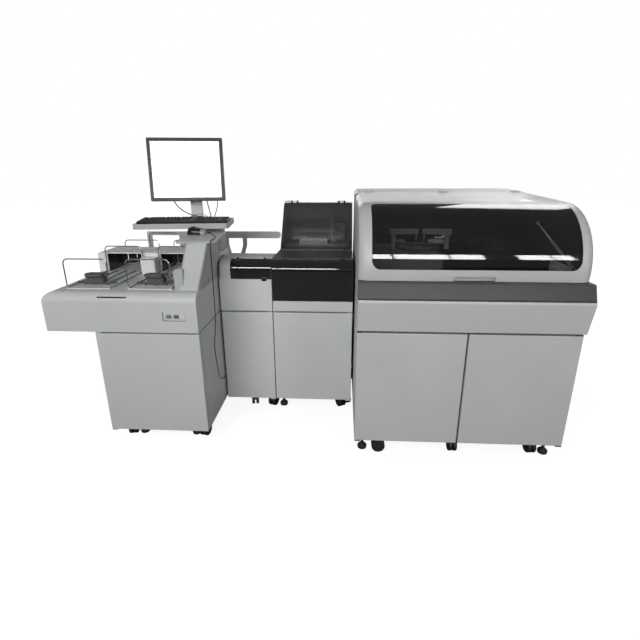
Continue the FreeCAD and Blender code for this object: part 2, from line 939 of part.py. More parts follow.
def reagent_carousel():
    """Round reagent carousel with a domed lid, finger knob and filling slots."""
    low = deck_level + 2.0
    high = deck_level + carousel_height
    edges = [
        Part.makeLine(Vector(wheel_spindle + pin_gap, 0, low), Vector(carousel_radius, 0, low)),
        Part.makeLine(Vector(carousel_radius, 0, low), Vector(carousel_radius, 0, high - 14.0)),
        Part.Arc(
            Vector(carousel_radius, 0, high - 14.0),
            Vector(carousel_radius - 4.0, 0, high - 4.0),
            Vector(carousel_radius - 14.0, 0, high),
        ).toShape(),
        Part.makeLine(Vector(carousel_radius - 14.0, 0, high), Vector(28.0, 0, high + 6.0)),
        Part.makeLine(Vector(28.0, 0, high + 6.0), Vector(24.0, 0, high + 26.0)),
        Part.makeLine(Vector(24.0, 0, high + 26.0), Vector(0, 0, high + 28.0)),
        Part.makeLine(Vector(0, 0, high + 28.0), Vector(0, 0, low + 16.0)),
        Part.makeLine(Vector(0, 0, low + 16.0), Vector(wheel_spindle + pin_gap, 0, low + 16.0)),
        Part.makeLine(Vector(wheel_spindle + pin_gap, 0, low + 16.0), Vector(wheel_spindle + pin_gap, 0, low)),
    ]
    lid = Part.Face(Part.Wire(edges)).revolve(Vector(0, 0, 0), Vector(0, 0, 1), 360.0)
    lid.translate(Vector(carousel_x, carousel_y, 0.0))
    slot = block(
        (carousel_x + carousel_radius - 66.0, carousel_x + carousel_radius - 26.0),
        (carousel_y - 11.0, carousel_y + 11.0),
        (high - 6.0, high + 12.0),
    )
    for step in range(2):
        lid = lid.cut(turned(slot, 215.0 + 28.0 * step, carousel_x, carousel_y))
    return lid




def probe_arm(post_x, direction):
    """Post, tapered arm, guide sleeve and needle of a sampling arm that points along X."""
    post = upright(post_x, arm_post_y, arm_post_radius, deck_level + fit_gap, arm_level + 4.0)
    tip_x = post_x + direction * arm_reach
    back_x = post_x - direction * 22.0
    arm = plan_profile(
        (arm_level, arm_level + 26.0),
        [
            (back_x, arm_post_y - 20.0, 12.0),
            (tip_x, arm_post_y - 11.0, 8.0),
            (tip_x, arm_post_y + 11.0, 8.0),
            (back_x, arm_post_y + 20.0, 12.0),
        ],
    )
    needle_x = tip_x - direction * 10.0
    needle_low = deck_level + carousel_height + 6.0
    needle = upright(needle_x, arm_post_y, 1.6, needle_low, arm_level + 1.0)
    sleeve = upright(needle_x, arm_post_y, 4.0, arm_level - 26.0, arm_level + 1.0)
    return joined([post, arm, needle, sleeve])


def mixer_unit():
    """Mixing arm: round post, slanting reach and the round head with its paddle."""
    level = mixer_level
    post = upright(mixer_x, mixer_y, arm_post_radius, deck_level + fit_gap, level + 30.0)
    head = upright(mixer_disc_x, mixer_disc_y, mixer_disc_radius, level, level + 12.0)
    hub = upright(mixer_disc_x, mixer_disc_y, 14.0, level + 11.0, level + 30.0)
    paddle = upright(mixer_disc_x, mixer_disc_y, 2.5, level - 14.0, level + 1.0)
    reach = plan_profile(
        (level + 11.0, level + 24.0),
        [
            (mixer_disc_x - 11.0, mixer_disc_y + 8.0),
            (mixer_disc_x + 11.0, mixer_disc_y - 8.0),
            (mixer_x + 16.0, mixer_y - 4.0, 6.0),
            (mixer_x - 8.0, mixer_y + 16.0, 6.0),
        ],
    )
    return joined([post, head, hub, paddle, reach])


def fluid_tanks():
    """Two moulded fluid tanks that stand on the frame's floor pan."""
    low = cabinet_bottom + 40.0 + skin
    width, depth, height = tank_size
    shapes = []
    for x in tank_places:
        body = block((x, x + width), (tank_front, tank_front + depth), (low, low + height))
        body = fillet_where(body, tank_round, lambda p, e: near(p.z, low + height / 2.0))
        body = fillet_where(body, tank_round - 6.0, lambda p, e: near(p.z, low + height))
        centre = Vector(x + width / 2.0, tank_front + neck_back, low + height - 2.0 * tank_wall)
        neck = bar(neck_radius, centre, centre + Vector(0, 0, 2.0 * tank_wall + neck_rise))
        hollow = block(
            (x + tank_wall, x + width - tank_wall),
            (tank_front + tank_wall, tank_front + depth - tank_wall),
            (low + tank_wall, low + height - 3.0 * tank_wall),
        )
        shapes.append(body.cut(hollow).fuse(neck).removeSplitter())
    return Part.makeCompound(shapes)


def pump_unit():
    """Pump plate with three diaphragm pump heads, bolted on the frame's floor pan."""
    low = cabinet_bottom + 40.0 + skin
    x, y = pump_base_x, pump_base_y
    base = block(x, y, (low, low + pump_plate))
    body_y = (y[0] + pump_head_radius + pump_inset, y[1] - pump_inset)
    body = block((x[0] + pump_inset, x[1] - pump_inset), body_y, (low + pump_plate - 1.0, low + pump_height))
    shapes = [base, fillet_where(body, 10.0, lambda p, e: near(p.z, low + pump_height))]
    middle = (x[0] + x[1]) / 2.0
    for step in (-1.0, 0.0, 1.0):
        centre = Vector(middle + step * pump_pitch, 0.0, low + pump_head_level)
        shapes.append(bar(pump_head_radius, centre + Vector(0, y[0] + pump_plate, 0), centre + Vector(0, body_y[0] + 10.0, 0)))
    return joined(shapes)


def strut_cylinder():
    """Gas strut cylinder with its lower eye."""
    foot = Vector(strut_x, strut_foot_y, strut_foot_z)
    along = strut_direction()
    body = bar(strut_body_radius, foot + along * 14.0, foot + along * strut_body_length)
    eye = bar(9.0, foot - Vector(strut_eye_half, 0, 0), foot + Vector(strut_eye_half, 0, 0))
    neck = bar(4.5, foot + along * 6.0, foot + along * 16.0)
    bore = bar(strut_stud + pin_gap, foot - Vector(20, 0, 0), foot + Vector(20, 0, 0))
    rod_bore = bar(
        strut_rod_radius + pin_gap,
        foot + along * 24.0,
        foot + along * (strut_body_length + 1.0),
    )
    return joined([body, eye, neck]).cut(bore).cut(rod_bore)


def strut_rod():
    """Polished rod of the gas strut with its upper eye."""
    foot = Vector(strut_x, strut_foot_y, strut_foot_z)
    head = Vector(strut_x, strut_head_y, strut_head_z)
    along = strut_direction()
    rod = bar(strut_rod_radius, foot + along * 30.0, head - along * 6.0)
    eye = bar(9.0, head - Vector(strut_eye_half - 1.0, 0, 0), head + Vector(strut_eye_half - 1.0, 0, 0))
    bore = bar(5.3, head - Vector(20, 0, 0), head + Vector(20, 0, 0))
    return joined([rod, eye]).cut(bore)


def module_carcass(x, upper_front, height, bays):
    """Side module cabinet: two sides, floor, back, shelf over the door and the front band."""
    low = cabinet_bottom
    side = [
        (carcass_front_y, low),
        (carcass_front_y, side_split),
        (side_front, side_split),
        (side_front, upper_front),
    ]
    side += bays
    side += [(side_rear, height), (side_rear, low)]
    shapes = [side_profile((x[0], x[0] + skin), side), side_profile((x[1] - skin, x[1]), side)]
    shapes.append(block(x, (carcass_front_y, side_rear), (low, low + skin)))
    shapes.append(block(x, (side_rear - skin, side_rear), (low, height)))
    shapes.append(block(x, (side_front, side_rear), (side_split, side_split + skin)))
    shapes.append(block(x, (side_front, side_front + skin), (side_split, upper_front)))
    tube = 30.0
    for corner in (x[0], x[1] - tube):
        shapes.append(block((corner, corner + tube), (carcass_front_y, carcass_front_y + skin), (low, side_split)))
    shapes.append(block(x, (carcass_front_y, carcass_front_y + skin), (low, low + tube)))
    return shapes


def docking_pads(from_x, to_x):
    """Pads at the back of a module that bear on the next module's side."""
    shapes = []
    for y in (520.0, 1010.0):
        for z in (180.0, 560.0):
            shapes.append(block((from_x - 1.0, to_x - fit_gap), (y, y + 50.0), (z, z + 50.0)))
    return shapes


def ise_cabinet():
    """Electrolyte module cabinet: door bay below, working bay behind the dark front flap."""
    x = (electrolyte_left, electrolyte_right)
    height = flap_top - deck_frame - fit_gap
    lip = flap_wall + 3.0
    bays = [
        (side_front + lip, band_top),
        (side_front + lip, flap_top - flap_round),
        (side_front + flap_round, height),
    ]
    shapes = module_carcass(x, band_top, height, bays)
    shapes.append(block(x, (side_front, side_rear), (band_top - skin, band_top)))
    doors = (cabinet_bottom, side_door_top)
    shapes += hinge_brackets(side_front, doors, electrolyte_right - hinge_inset, carcass_front_y, -1.0)
    shapes += docking_pads(electrolyte_right, 0.0)
    return joined(shapes)


def ise_front_flap():
    """Dark front flap of the electrolyte module, hinged along its rear top edge."""
    x = (electrolyte_left + 1.0, electrolyte_right - 1.0)
    outer = [
        (side_front, band_top + 2.0),
        (side_front, flap_top, flap_round),
        (side_front + flap_round + 4.0, flap_top),
        (side_front + flap_round + 4.0, flap_top - flap_wall),
        (side_front + flap_wall, flap_top - flap_wall, flap_round - flap_wall),
        (side_front + flap_wall, band_top + 2.0),
    ]
    return with_knuckles(side_profile(x, outer), ise_flap_places(), flap_top)


def ise_flap_places():
    """Places along X of the two hinges of the electrolyte module's front flap."""
    return (electrolyte_left + 61.0, electrolyte_right - 61.0)


def with_knuckles(cover, places, level):
    """Hinge knuckles on the top of a cover, each bored for its pin."""
    axis_y = side_front + flap_round + 1.0
    axis_z = level + knuckle_radius
    for place in places:
        low = Vector(place - knuckle_half, axis_y, axis_z)
        high = Vector(place + knuckle_half, axis_y, axis_z)
        seat = block(
            (low.x, high.x),
            (axis_y - knuckle_radius, axis_y + 2.0),
            (level - 1.0, level + 2.0),
        )
        cover = cover.fuse(bar(knuckle_radius, low, high)).fuse(seat)
    for place in places:
        bore = bar(
            knuckle_pin + pin_gap,
            Vector(place - knuckle_half - 1.0, axis_y, axis_z),
            Vector(place + knuckle_half + 1.0, axis_y, axis_z),
        )
        cover = cover.cut(bore)
    return cover.removeSplitter()


def knuckle_ears(places, level, rear_y):
    """Fixed ears on both sides of each knuckle with the pin through them."""
    axis_y = side_front + flap_round + 1.0
    axis_z = level + knuckle_radius
    shapes = []
    for place in places:
        for side in (-1.0, 1.0):
            inner = place + side * (knuckle_half + fit_gap)
            low, high = sorted((inner, inner + side * knuckle_ear))
            shapes.append(bar(knuckle_radius - 0.5, Vector(low, axis_y, axis_z), Vector(high, axis_y, axis_z)))
            shapes.append(block((low, high), (axis_y, rear_y), (axis_z - 2.5, axis_z + 2.5)))
        reach = knuckle_half + knuckle_ear
        pin_low = Vector(place - reach, axis_y, axis_z)
        pin_high = Vector(place + reach, axis_y, axis_z)
        shapes.append(bar(knuckle_pin, pin_low, pin_high))
    return shapes


def ise_deck():
    """White deck frame of the electrolyte module, flap pins and the floor of the upper bay."""
    x = (electrolyte_left, electrolyte_right)
    front = side_front + flap_round + 5.0
    under = flap_top - deck_frame
    plate = block(x, (front, slope_foot_y + 12.0), (under, top_level))
    plate = fillet_where(plate, 2.0, lambda p, e: near(p.y, front) and near(p.z, top_level))
    recess = plan_profile(
        (top_level - 3.0, top_level + 1.0),
        rectangle((x[0] + 12.0, x[1] - 4.0), (front + 10.0, slope_foot_y - 6.0), 6.0),
    )
    shapes = [plate.cut(recess)]
    shapes += knuckle_ears(ise_flap_places(), flap_top, front + 1.0)
    shapes.append(
        block((x[0] + 6.0, x[1] - 6.0), (slope_foot_y - 4.0, slope_foot_y + 12.0), (top_level - 1.0, top_level + 5.0))
    )
    inner = (x[0] + skin + fit_gap, x[1] - skin - fit_gap)
    shapes.append(block(inner, (slope_foot_y + 11.0, side_rear - skin - fit_gap), (under, under + deck_frame)))
    return joined(shapes)


def ise_upper_housing():
    """Upper housing of the electrolyte module: side walls cut to the sloping cover, back and top."""
    x = (electrolyte_left, electrolyte_right)
    under = flap_top - deck_frame
    foot_y = slope_foot_y + 14.0
    outer = side_profile(
        x,
        [
            (foot_y, top_level),
            (slope_head_y + 4.0, slope_head_z - 6.0),
            (slope_head_y + 4.0, slope_head_z),
            (side_rear, slope_head_z, 16.0),
            (side_rear, under),
            (foot_y, under),
        ],
    )
    inner = side_profile(
        (x[0] + skin, x[1] - skin),
        [
            (foot_y - 40.0, under - 1.0),
            (foot_y - 40.0, top_level),
            (foot_y - 5.0, top_level),
            (slope_head_y - 4.0, slope_head_z - skin - 6.0),
            (side_rear - skin, slope_head_z - skin - 6.0, 12.0),
            (side_rear - skin, under - 1.0),
        ],
    )
    outer = fillet_where(outer, 4.0, lambda p, e: is_upper_end(p, x))
    housing = outer.cut(inner)
    axis_y = slope_head_y + 9.0
    axis_z = slope_head_z + 2.0
    places = (x[0] + 70.0, x[1] - 70.0)
    for place in places:
        for side in (-1.0, 1.0):
            low, high = sorted((place + side * 12.3, place + side * 24.6))
            housing = housing.cut(bar(8.6, Vector(low, axis_y, axis_z), Vector(high, axis_y, axis_z)))
    shapes = [housing]
    for place in places:
        shapes.append(bar(4.0, Vector(place - 12.0, axis_y, axis_z), Vector(place + 12.0, axis_y, axis_z)))
        shapes.append(bar(2.0, Vector(place - 24.0, axis_y, axis_z), Vector(place + 24.0, axis_y, axis_z)))
    return joined(shapes)


def is_upper_end(point, x):
    at_end = near(point.x, x[0]) or near(point.x, x[1])
    return at_end and near(point.z, slope_head_z)


def slope_vectors():
    """Foot point on the housing's slope, its upward direction, length and outward normal."""
    foot = Vector(0.0, slope_foot_y + 14.0, top_level)
    head = Vector(0.0, slope_head_y + 4.0, slope_head_z - 6.0)
    along = head - foot
    length = along.Length
    along.normalize()
    outward = Vector(0.0, -along.z, along.y)
    return foot, along, length, outward


def ise_upper_cover():
    """Tinted sloping cover with rounded top corners, a foot stiffener and hinge eyes."""
    x = (electrolyte_left + 2.0, electrolyte_right - 2.0)
    foot, along, length, outward = slope_vectors()
    base = foot + outward + along * 8.0
    reach = length - 14.0

    def place(point):
        return Vector(point.x, 0.0, 0.0) + base + along * point.y

    corners = [(x[0], 0.0), (x[1], 0.0), (x[1], reach, 20.0), (x[0], reach, 20.0)]
    cover = Part.Face(rounded_wire(corners, place)).extrude(outward * cover_wall)
    stiffener_corners = rectangle((x[0] + 4.0, x[1] - 4.0), (0.0, 9.0))
    stiffener = Part.Face(rounded_wire(stiffener_corners, place)).extrude(outward * -7.0)
    cover = cover.fuse(stiffener)
    axis_y = slope_head_y + 9.0
    axis_z = slope_head_z + 2.0
    sheet_end = base + along * (reach - 6.0)
    for place_x in (electrolyte_left + 70.0, electrolyte_right - 70.0):
        for side in (-1.0, 1.0):
            low, high = sorted((place_x + side * 12.6, place_x + side * 24.0))
            cover = cover.fuse(bar(4.0, Vector(low, axis_y, axis_z), Vector(high, axis_y, axis_z)))
            arm = side_profile(
                (low, high),
                [
                    (sheet_end.y + 1.0, sheet_end.z + 0.5),
                    (axis_y - 1.0, axis_z - 1.0),
                    (axis_y, axis_z + 4.0),
                    (sheet_end.y - 1.0, sheet_end.z + 5.0),
                ],
            )
            cover = cover.fuse(arm)
            bore = bar(2.0 + pin_gap, Vector(low - 1.0, axis_y, axis_z), Vector(high + 1.0, axis_y, axis_z))
            cover = cover.cut(bore)
    return cover.removeSplitter()


def ise_unit():
    """Electrode block and wash pots on a raised step inside the electrolyte module."""
    low = flap_top + fit_gap
    step = top_level + ise_step - 8.0
    top = step + ise_body_height
    margin = 20.0
    base = block(
        (electrolyte_left + margin, electrolyte_right - margin),
        (ise_body_y[0] - 1.5 * margin, side_rear - 2.0 * margin),
        (low, step),
    )
    body = block(ise_body_x, ise_body_y, (step - 1.0, top))
    body = fillet_where(body, 10.0, lambda p, e: near(p.z, top))
    shapes = [base, body]
    for x in ise_pot_places:
        shapes.append(upright(x, ise_body_y[0] + 26.0, 9.0, top - 1.0, top + 10.0))
    shapes.append(ring(ise_post_x, ise_post_y, 24.0, 14.0 + pin_gap, step - 1.0, step + 18.0))
    shapes.append(block(ise_tower_x, ise_tower_y, (step - 1.0, step + ise_tower_height)))
    return joined(shapes)


def ise_probe():
    """Dispensing arm of the electrolyte module on its round post."""
    low = top_level + ise_step - 8.0 + fit_gap
    post = upright(ise_post_x, ise_post_y, 14.0, low, ise_post_top)
    arm = plan_profile(
        (ise_arm_level, ise_arm_level + 22.0),
        [
            (ise_post_x + 24.0, ise_post_y - 18.0, 10.0),
            (ise_post_x + 24.0, ise_post_y + 18.0, 10.0),
            (ise_post_x - ise_arm_reach, ise_post_y + 9.0, 7.0),
            (ise_post_x - ise_arm_reach, ise_post_y - 9.0, 7.0),
        ],
    )
    tip = ise_post_x - ise_arm_reach + 10.0
    needle = upright(tip, ise_post_y, 1.6, ise_arm_level - 20.0, ise_arm_level + 1.0)
    return joined([post, arm, needle])


def transport_cabinet():
    """Rack transport cabinet with a plain upper front and a raised head over the rack lane."""
    x = (transport_left, transport_right)
    shapes = module_carcass(x, transport_shoulder, transport_shoulder, [])
    shapes.append(block(x, (side_front, side_rear), (transport_shoulder - skin, transport_shoulder)))
    doors = (cabinet_bottom, side_door_top)
    shapes += hinge_brackets(side_front, doors, transport_right - hinge_inset, carcass_front_y, -1.0)
    shapes += docking_pads(transport_right, electrolyte_left)
    socket = block(
        (transport_left - 9.0, transport_left + 1.0),
        (lead_inlet_y, lead_inlet_y + 26.0),
        (lead_inlet_z - 7.0, lead_inlet_z + 7.0),
    )
    lead_x = transport_left - feeder_gap / 2.0
    socket_bore = bar(
        mouse_lead_diameter / 2.0 + 2.0 * fit_gap,
        Vector(lead_x, lead_inlet_y - 1.0, lead_inlet_z),
        Vector(lead_x, lead_inlet_y + 14.0, lead_inlet_z),
    )
    shapes.append(socket)
    middle = (transport_left + transport_right) / 2.0
    service = block(
        (middle - service_width / 2.0, middle + service_width / 2.0),
        (side_rear - skin - 1.0, side_rear + 1.0),
        (service_level, service_level + service_height),
    )
    return joined(shapes).cut(socket_bore).cut(service)


def transport_head():
    """Raised head over the rack lane: moulded cap, right end wall and the cover's hinge ears."""
    x = (transport_left, transport_right)
    head = side_profile(
        x,
        [
            (side_front, transport_shoulder),
            (side_front, top_level, flap_round),
            (transport_head_rear, top_level, 8.0),
            (transport_head_rear, transport_shoulder),
        ],
    )
    head = fillet_where(
        head,
        16.0,
        lambda p, e: near(p.x, transport_left) and p.z > transport_shoulder and p.y < transport_head_rear - 1.0,
    )
    window = (transport_left + transport_window_left, transport_right + 1.0)
    hollow = side_profile(
        (transport_left + 20.0, transport_right - skin),
        [
            (side_front + skin + 4.0, transport_shoulder - 4.0),
            (side_front + skin + 4.0, top_level - skin - 6.0, flap_round - 8.0),
            (transport_head_rear - skin, top_level - skin - 6.0, 4.0),
            (transport_head_rear - skin, transport_shoulder - 4.0),
        ],
    )
    opening = block(
        (window[0], window[1]),
        (side_front - 1.0, side_front + flap_round + 6.0),
        (transport_shoulder + 2.0, top_level + 1.0),
    )
    head = head.cut(hollow).cut(opening)
    wall = side_profile(
        (transport_right - skin, transport_right),
        [
            (side_front + flap_wall + 3.0, transport_shoulder),
            (side_front + flap_wall + 3.0, flap_top - flap_round),
            (side_front + flap_round, flap_top - flap_wall - 3.0),
            (side_front + flap_round + 8.0, flap_top - flap_wall - 3.0),
            (side_front + flap_round + 8.0, transport_shoulder),
        ],
    )
    shapes = [head, wall]
    ear_root = side_front + flap_round + 12.0
    shapes += knuckle_ears(transport_pin_places(), transport_cover_top, ear_root)
    for place in transport_pin_places():
        root = block(
            (place - knuckle_half - knuckle_ear, place + knuckle_half + knuckle_ear),
            (ear_root - 5.0, ear_root),
            (top_level - 2.0, transport_cover_top + knuckle_radius + 2.5),
        )
        shapes.append(root)
    return joined(shapes)


def transport_pin_places():
    """Places along X of the two pins that carry the transport cover."""
    return (transport_left + transport_window_left + 36.0, transport_right - 40.0)


def transport_cover():
    """Dark cover of the rack lane, hinged along its rear top edge, with a pull tab."""
    x = (transport_left + transport_window_left + 1.0, transport_right - 1.0)
    rear = side_front + flap_round + 4.0
    top = transport_cover_top
    outer = [
        (side_front, transport_shoulder + 3.0),
        (side_front, top, flap_round),
        (rear, top),
        (rear, top - flap_wall),
        (side_front + flap_wall, top - flap_wall, flap_round - flap_wall),
        (side_front + flap_wall, transport_shoulder + 3.0),
    ]
    cover = side_profile(x, outer)
    tab_top = transport_shoulder + 11.0
    tab = front_profile(
        (side_front - 6.0, side_front - fit_gap),
        [
            (tab_x[0], tab_top),
            (tab_x[1], tab_top),
            (tab_x[1] - 2.0, tab_top - tab_height, 3.0),
            (tab_x[0] + 2.0, tab_top - tab_height, 3.0),
        ],
    )
    root = block(
        (tab_x[0] + 3.0, tab_x[1] - 3.0),
        (side_front - 3.0, side_front + 1.0),
        (transport_shoulder + 4.0, tab_top - 1.0),
    )
    return with_knuckles(joined([cover, tab, root]), transport_pin_places(), top)


def rack_lane():
    """Rack conveyor through the transport module: channel and two belts."""
    x = (transport_left + 24.0, transport_right - skin - 2.0)
    low = transport_shoulder + fit_gap
    near_y, far_y = lane_y
    channel = side_profile(
        x,
        [
            (near_y, low),
            (far_y, low),
            (far_y, low + 30.0),
            (far_y - lane_sheet, low + 30.0),
            (far_y - lane_sheet, low + lane_sheet),
            (near_y + lane_sheet, low + lane_sheet),
            (near_y + lane_sheet, low + 22.0),
            (near_y, low + 22.0),
        ],
    )
    shapes = [channel]
    for y in belt_places:
        belt = side_profile(
            (x[0] + 6.0, x[1] - 6.0),
            rectangle((y, y + belt_width), (low + lane_sheet - 0.5, low + 13.0), 3.0),
        )
        shapes.append(belt)
    return joined(shapes)


def feeder_cabinet():
    """Feeder cabinet: folded sides, floor, back and the cross rails that carry the head."""
    low = cabinet_bottom
    front = feeder_front + panel_depth + door_seal_gap
    x = (feeder_left, feeder_right)
    rear = side_rear
    side = [(front, low, 5.0), (front, feeder_top), (rear, feeder_top), (rear, low, 5.0)]
    shapes = [side_profile((x[0], x[0] + skin), side), side_profile((x[1] - skin, x[1]), side)]
    shapes.append(block(x, (front, rear), (low, low + skin)))
    shapes.append(block(x, (rear - skin, rear), (low, box_bottom)))
    rail = 36.0
    shapes.append(block(x, (front, front + rail), (feeder_top - rail, feeder_top)))
    shapes.append(block(x, (rear - rail, rear), (feeder_top - rail, feeder_top)))
    for corner in (x[0], x[1] - rail):
        shapes.append(block((corner, corner + rail), (front, front + skin), (low, feeder_top)))
    shapes.append(block(x, (front, front + skin), (low, low + rail)))
    for y in (front + 4.0, rear - rail):
        for corner in (x[0] + 20.0, x[1] - 20.0 - rail):
            shapes.append(block((corner, corner + rail), (y, y + rail), (feeder_top - 1.0, box_bottom)))
    shapes += hinge_brackets(feeder_front, (low, feeder_door_top), feeder_left + hinge_inset, front, 1.0)
    shapes += docking_pads(feeder_right, transport_left)
    return joined(shapes)


def feeder_top_box():
    """Feeder head: wide housing with a bullnose front, rounded left end and a rear gate wall."""
    outer = block((box_left, box_right), (box_front, machine_rear), (box_bottom, box_top))

    def rounded_top(point, edge):
        return near(point.z, box_top) and (near(point.y, box_front) or near(point.x, box_left))

    outer = fillet_where(outer, box_round, rounded_top)
    inner = block(
        (box_left + box_wall, box_right - box_wall),
        (box_front + box_wall, machine_rear - box_wall),
        (box_bottom + box_wall, box_top - box_wall),
    )

    def rounded_inner(point, edge):
        level = near(point.z, box_top - box_wall)
        return level and (near(point.y, box_front + box_wall) or near(point.x, box_left + box_wall))

    inner = fillet_where(inner, box_round - box_wall, rounded_inner)
    shell = outer.cut(inner)
    hatch = block(
        (feeder_left + 70.0, feeder_right - 70.0),
        (feeder_front + 130.0, side_rear - 110.0),
        (box_bottom - 1.0, box_bottom + box_wall + 1.0),
    )
    shell = shell.cut(hatch)
    low = button_level - button_height / 2.0
    high = button_level + button_height / 2.0
    boss = block(
        (button_places[0] - button_margin, button_places[-1] + button_margin),
        (box_front + 1.0, box_front + box_wall + button_pocket),
        (low - 8.0, high + 8.0),
    )
    shell = shell.fuse(boss)
    for place in button_places:
        pocket = front_profile(
            (box_front - 1.0, box_front + button_pocket),
            rectangle(
                (place - button_width / 2.0 - fit_gap, place + button_width / 2.0 + fit_gap),
                (low - fit_gap, high + fit_gap),
                3.0 + fit_gap,
            ),
        )
        shell = shell.cut(pocket)
    upright_groove = ((groove_x[0], groove_x[0] + groove_width), groove_z)
    level_groove = (groove_x, (groove_z[0], groove_z[0] + groove_width - 1.0))
    for x, z in (upright_groove, level_groove):
        shell = shell.cut(block(x, (box_front - 1.0, box_front + 1.5), z))
    gate = block((gate_left, gate_right), (gate_front, machine_rear - 4.0), (box_top - 1.0, gate_top))
    gate = fillet_where(gate, 8.0, lambda p, e: near(p.z, gate_top) and not near(p.y, gate_front))
    for x in (tray_left_x, tray_right_x):
        gap = block((x + 6.0, x + tray_width - 6.0), (gate_front - 1.0, machine_rear), (box_top + 14.0, gate_top - 26.0))
        gate = gate.cut(gap)
    shell = shell.fuse(gate)
    slot = block(slot_x, (box_front + 6.0, box_front + 14.0), (box_top - 24.0, box_top + 1.0))
    return shell.cut(slot).removeSplitter()


def wire_handle(x, y):
    """Wire hoop of a tray: two legs, two round corners and a crossbar."""
    left = x + wire_radius
    right = x + tray_width - wire_radius
    low = box_top + 4.0
    high = box_top + handle_height
    bend = handle_corner
    inset = bend * (1.0 - math.sqrt(0.5))
    edges = [
        Part.makeLine(Vector(left, y, low), Vector(left, y, high - bend)),
        Part.Arc(
            Vector(left, y, high - bend),
            Vector(left + inset, y, high - inset),
            Vector(left + bend, y, high),
        ).toShape(),
        Part.makeLine(Vector(left + bend, y, high), Vector(right - bend, y, high)),
        Part.Arc(
            Vector(right - bend, y, high),
            Vector(right - inset, y, high - inset),
            Vector(right, y, high - bend),
        ).toShape(),
        Part.makeLine(Vector(right, y, high - bend), Vector(right, y, low)),
    ]
    circle = Part.Wire(Part.makeCircle(wire_radius, Vector(left, y, low), Vector(0, 0, 1)))
    return Part.Wire(edges).makePipeShell([circle], True, False)


def rack_tray(x, y, length):
    """Rack tray: grooved floor with a rim, open at its rear end, and a wire hoop at each end."""
    low = box_top
    end_y = y + length
    floor = block((x, x + tray_width), (y, end_y), (low, low + 4.0))
    shapes = [floor]
    rim = 3.0
    wire_bed = 2.0 * wire_radius + 1.0
    for side in (x, x + tray_width - wire_bed):
        shapes.append(block((side, side + wire_bed), (y, end_y), (low, low + tray_rim)))
    shapes.append(block((x, x + tray_width), (y, y + rim), (low, low + 7.0)))
    for step in range(3):
        rib_x = x + tray_width * (0.25 + 0.25 * step)
        shapes.append(block((rib_x - 3.0, rib_x + 3.0), (y + 60.0, end_y), (low + 3.0, low + 9.0)))
    tray = joined(shapes)
    for handle_y in (y + wire_radius + 3.0, end_y - wire_radius - 3.0):
        tray = tray.fuse(wire_handle(x, handle_y))
    return tray


def feeder_tunnel_cover():
    """Gate cover across the lanes: roof, walls, two openings and the block between them."""
    low = box_top
    cover = block((tunnel_left, tunnel_right), (tunnel_front, tunnel_rear), (low, tunnel_top))
    cover = fillet_where(
        cover,
        10.0,
        lambda p, e: near(p.z, tunnel_top) and (near(p.y, tunnel_front) or near(p.x, tunnel_left)),
    )
    for x in tunnel_lanes:
        lane = block(x, (tunnel_front - 1.0, tunnel_rear + 1.0), (low - 1.0, tunnel_top - tunnel_roof))
        cover = cover.cut(lane)
    middle = block(
        (tray_left_x + tray_width + 2.0, tray_right_x - 2.0),
        (block_front, tunnel_front + 1.0),
        (low, block_top),
    )
    middle = fillet_where(middle, 9.0, lambda p, e: near(p.y, block_front) and not near(p.z, low))
    return joined([cover, middle])


def feeder_side_tower():
    """Leaning pedestal beside the right lane, its outer wall and the turned mouse shelf."""
    low = box_top
    top = shelf_level - shelf_thickness

    def section(level, x, y):
        return rounded_wire(rectangle(x, y, 12.0), lambda p: Vector(p.x, p.y, level))

    lower = section(low, tower_low_x, tower_low_y)
    upper = section(top + 0.5, tower_high_x, tower_high_y)
    column = Part.makeLoft([lower, upper], True, True)
    shoulder = front_profile(
        (tower_low_y[0] + 6.0, tower_low_y[1] - 40.0),
        [
            (shoulder_left, low),
            (shoulder_left + 44.0, low),
            (shoulder_left + 44.0, shoulder_top),
            (shoulder_left, shoulder_top, 18.0),
        ],
    )
    outer_wall = side_profile((box_right - wall_sheet, box_right), list(wall_line))
    shelf = plan_profile(
        (top, shelf_level),
        rectangle(
            (shelf_corner_x, shelf_corner_x + shelf_width),
            (shelf_corner_y, shelf_corner_y + shelf_length),
            24.0,
        ),
    )
    shelf = turned(shelf, console_turn, shelf_corner_x, shelf_corner_y)
    shelf = fillet_where(shelf, 3.0, lambda p, e: near(p.z, shelf_level))
    return joined([column, shoulder, outer_wall, shelf])


def rack_pusher(x):
    """Pusher that slides racks along a lane: low slider, upright foot and wide head."""
    low = box_top + 9.0 + fit_gap
    left = x + 2.0 * wire_radius + 3.0
    right = x + tray_width - 2.0 * wire_radius - 3.0
    slider = block((left, right), (pusher_y - 6.0, pusher_y + 6.0), (low, low + 8.0))
    centre = (left + right) / 2.0
    top = low + pusher_height
    body = side_profile(
        (centre - 44.0, centre + 40.0),
        [
            (pusher_y - 16.0, low),
            (pusher_y + 26.0, low),
            (pusher_y + 26.0, top, 5.0),
            (pusher_y - 30.0, top, 5.0),
            (pusher_y - 30.0, top - 14.0, 3.0),
            (pusher_y - 16.0, top - 22.0, 4.0),
        ],
    )
    lip = block((centre - 62.0, centre + 58.0), (pusher_y - 4.0, pusher_y + 22.0), (top - 14.0, top - 2.0))
    lip = fillet_where(lip, 4.0, lambda p, e: near(p.z, top - 2.0))
    return joined([slider, body, lip])


def push_button(place):
    """Push button cap with rounded corners, in its pocket on the feeder head."""
    low = button_level - button_height / 2.0
    high = button_level + button_height / 2.0
    cap = front_profile(
        (box_front - 4.0, box_front + 9.0),
        rectangle((place - button_width / 2.0, place + button_width / 2.0), (low, high), 3.0),
    )
    return fillet_where(cap, 1.5, lambda p, e: near(p.y, box_front - 4.0))


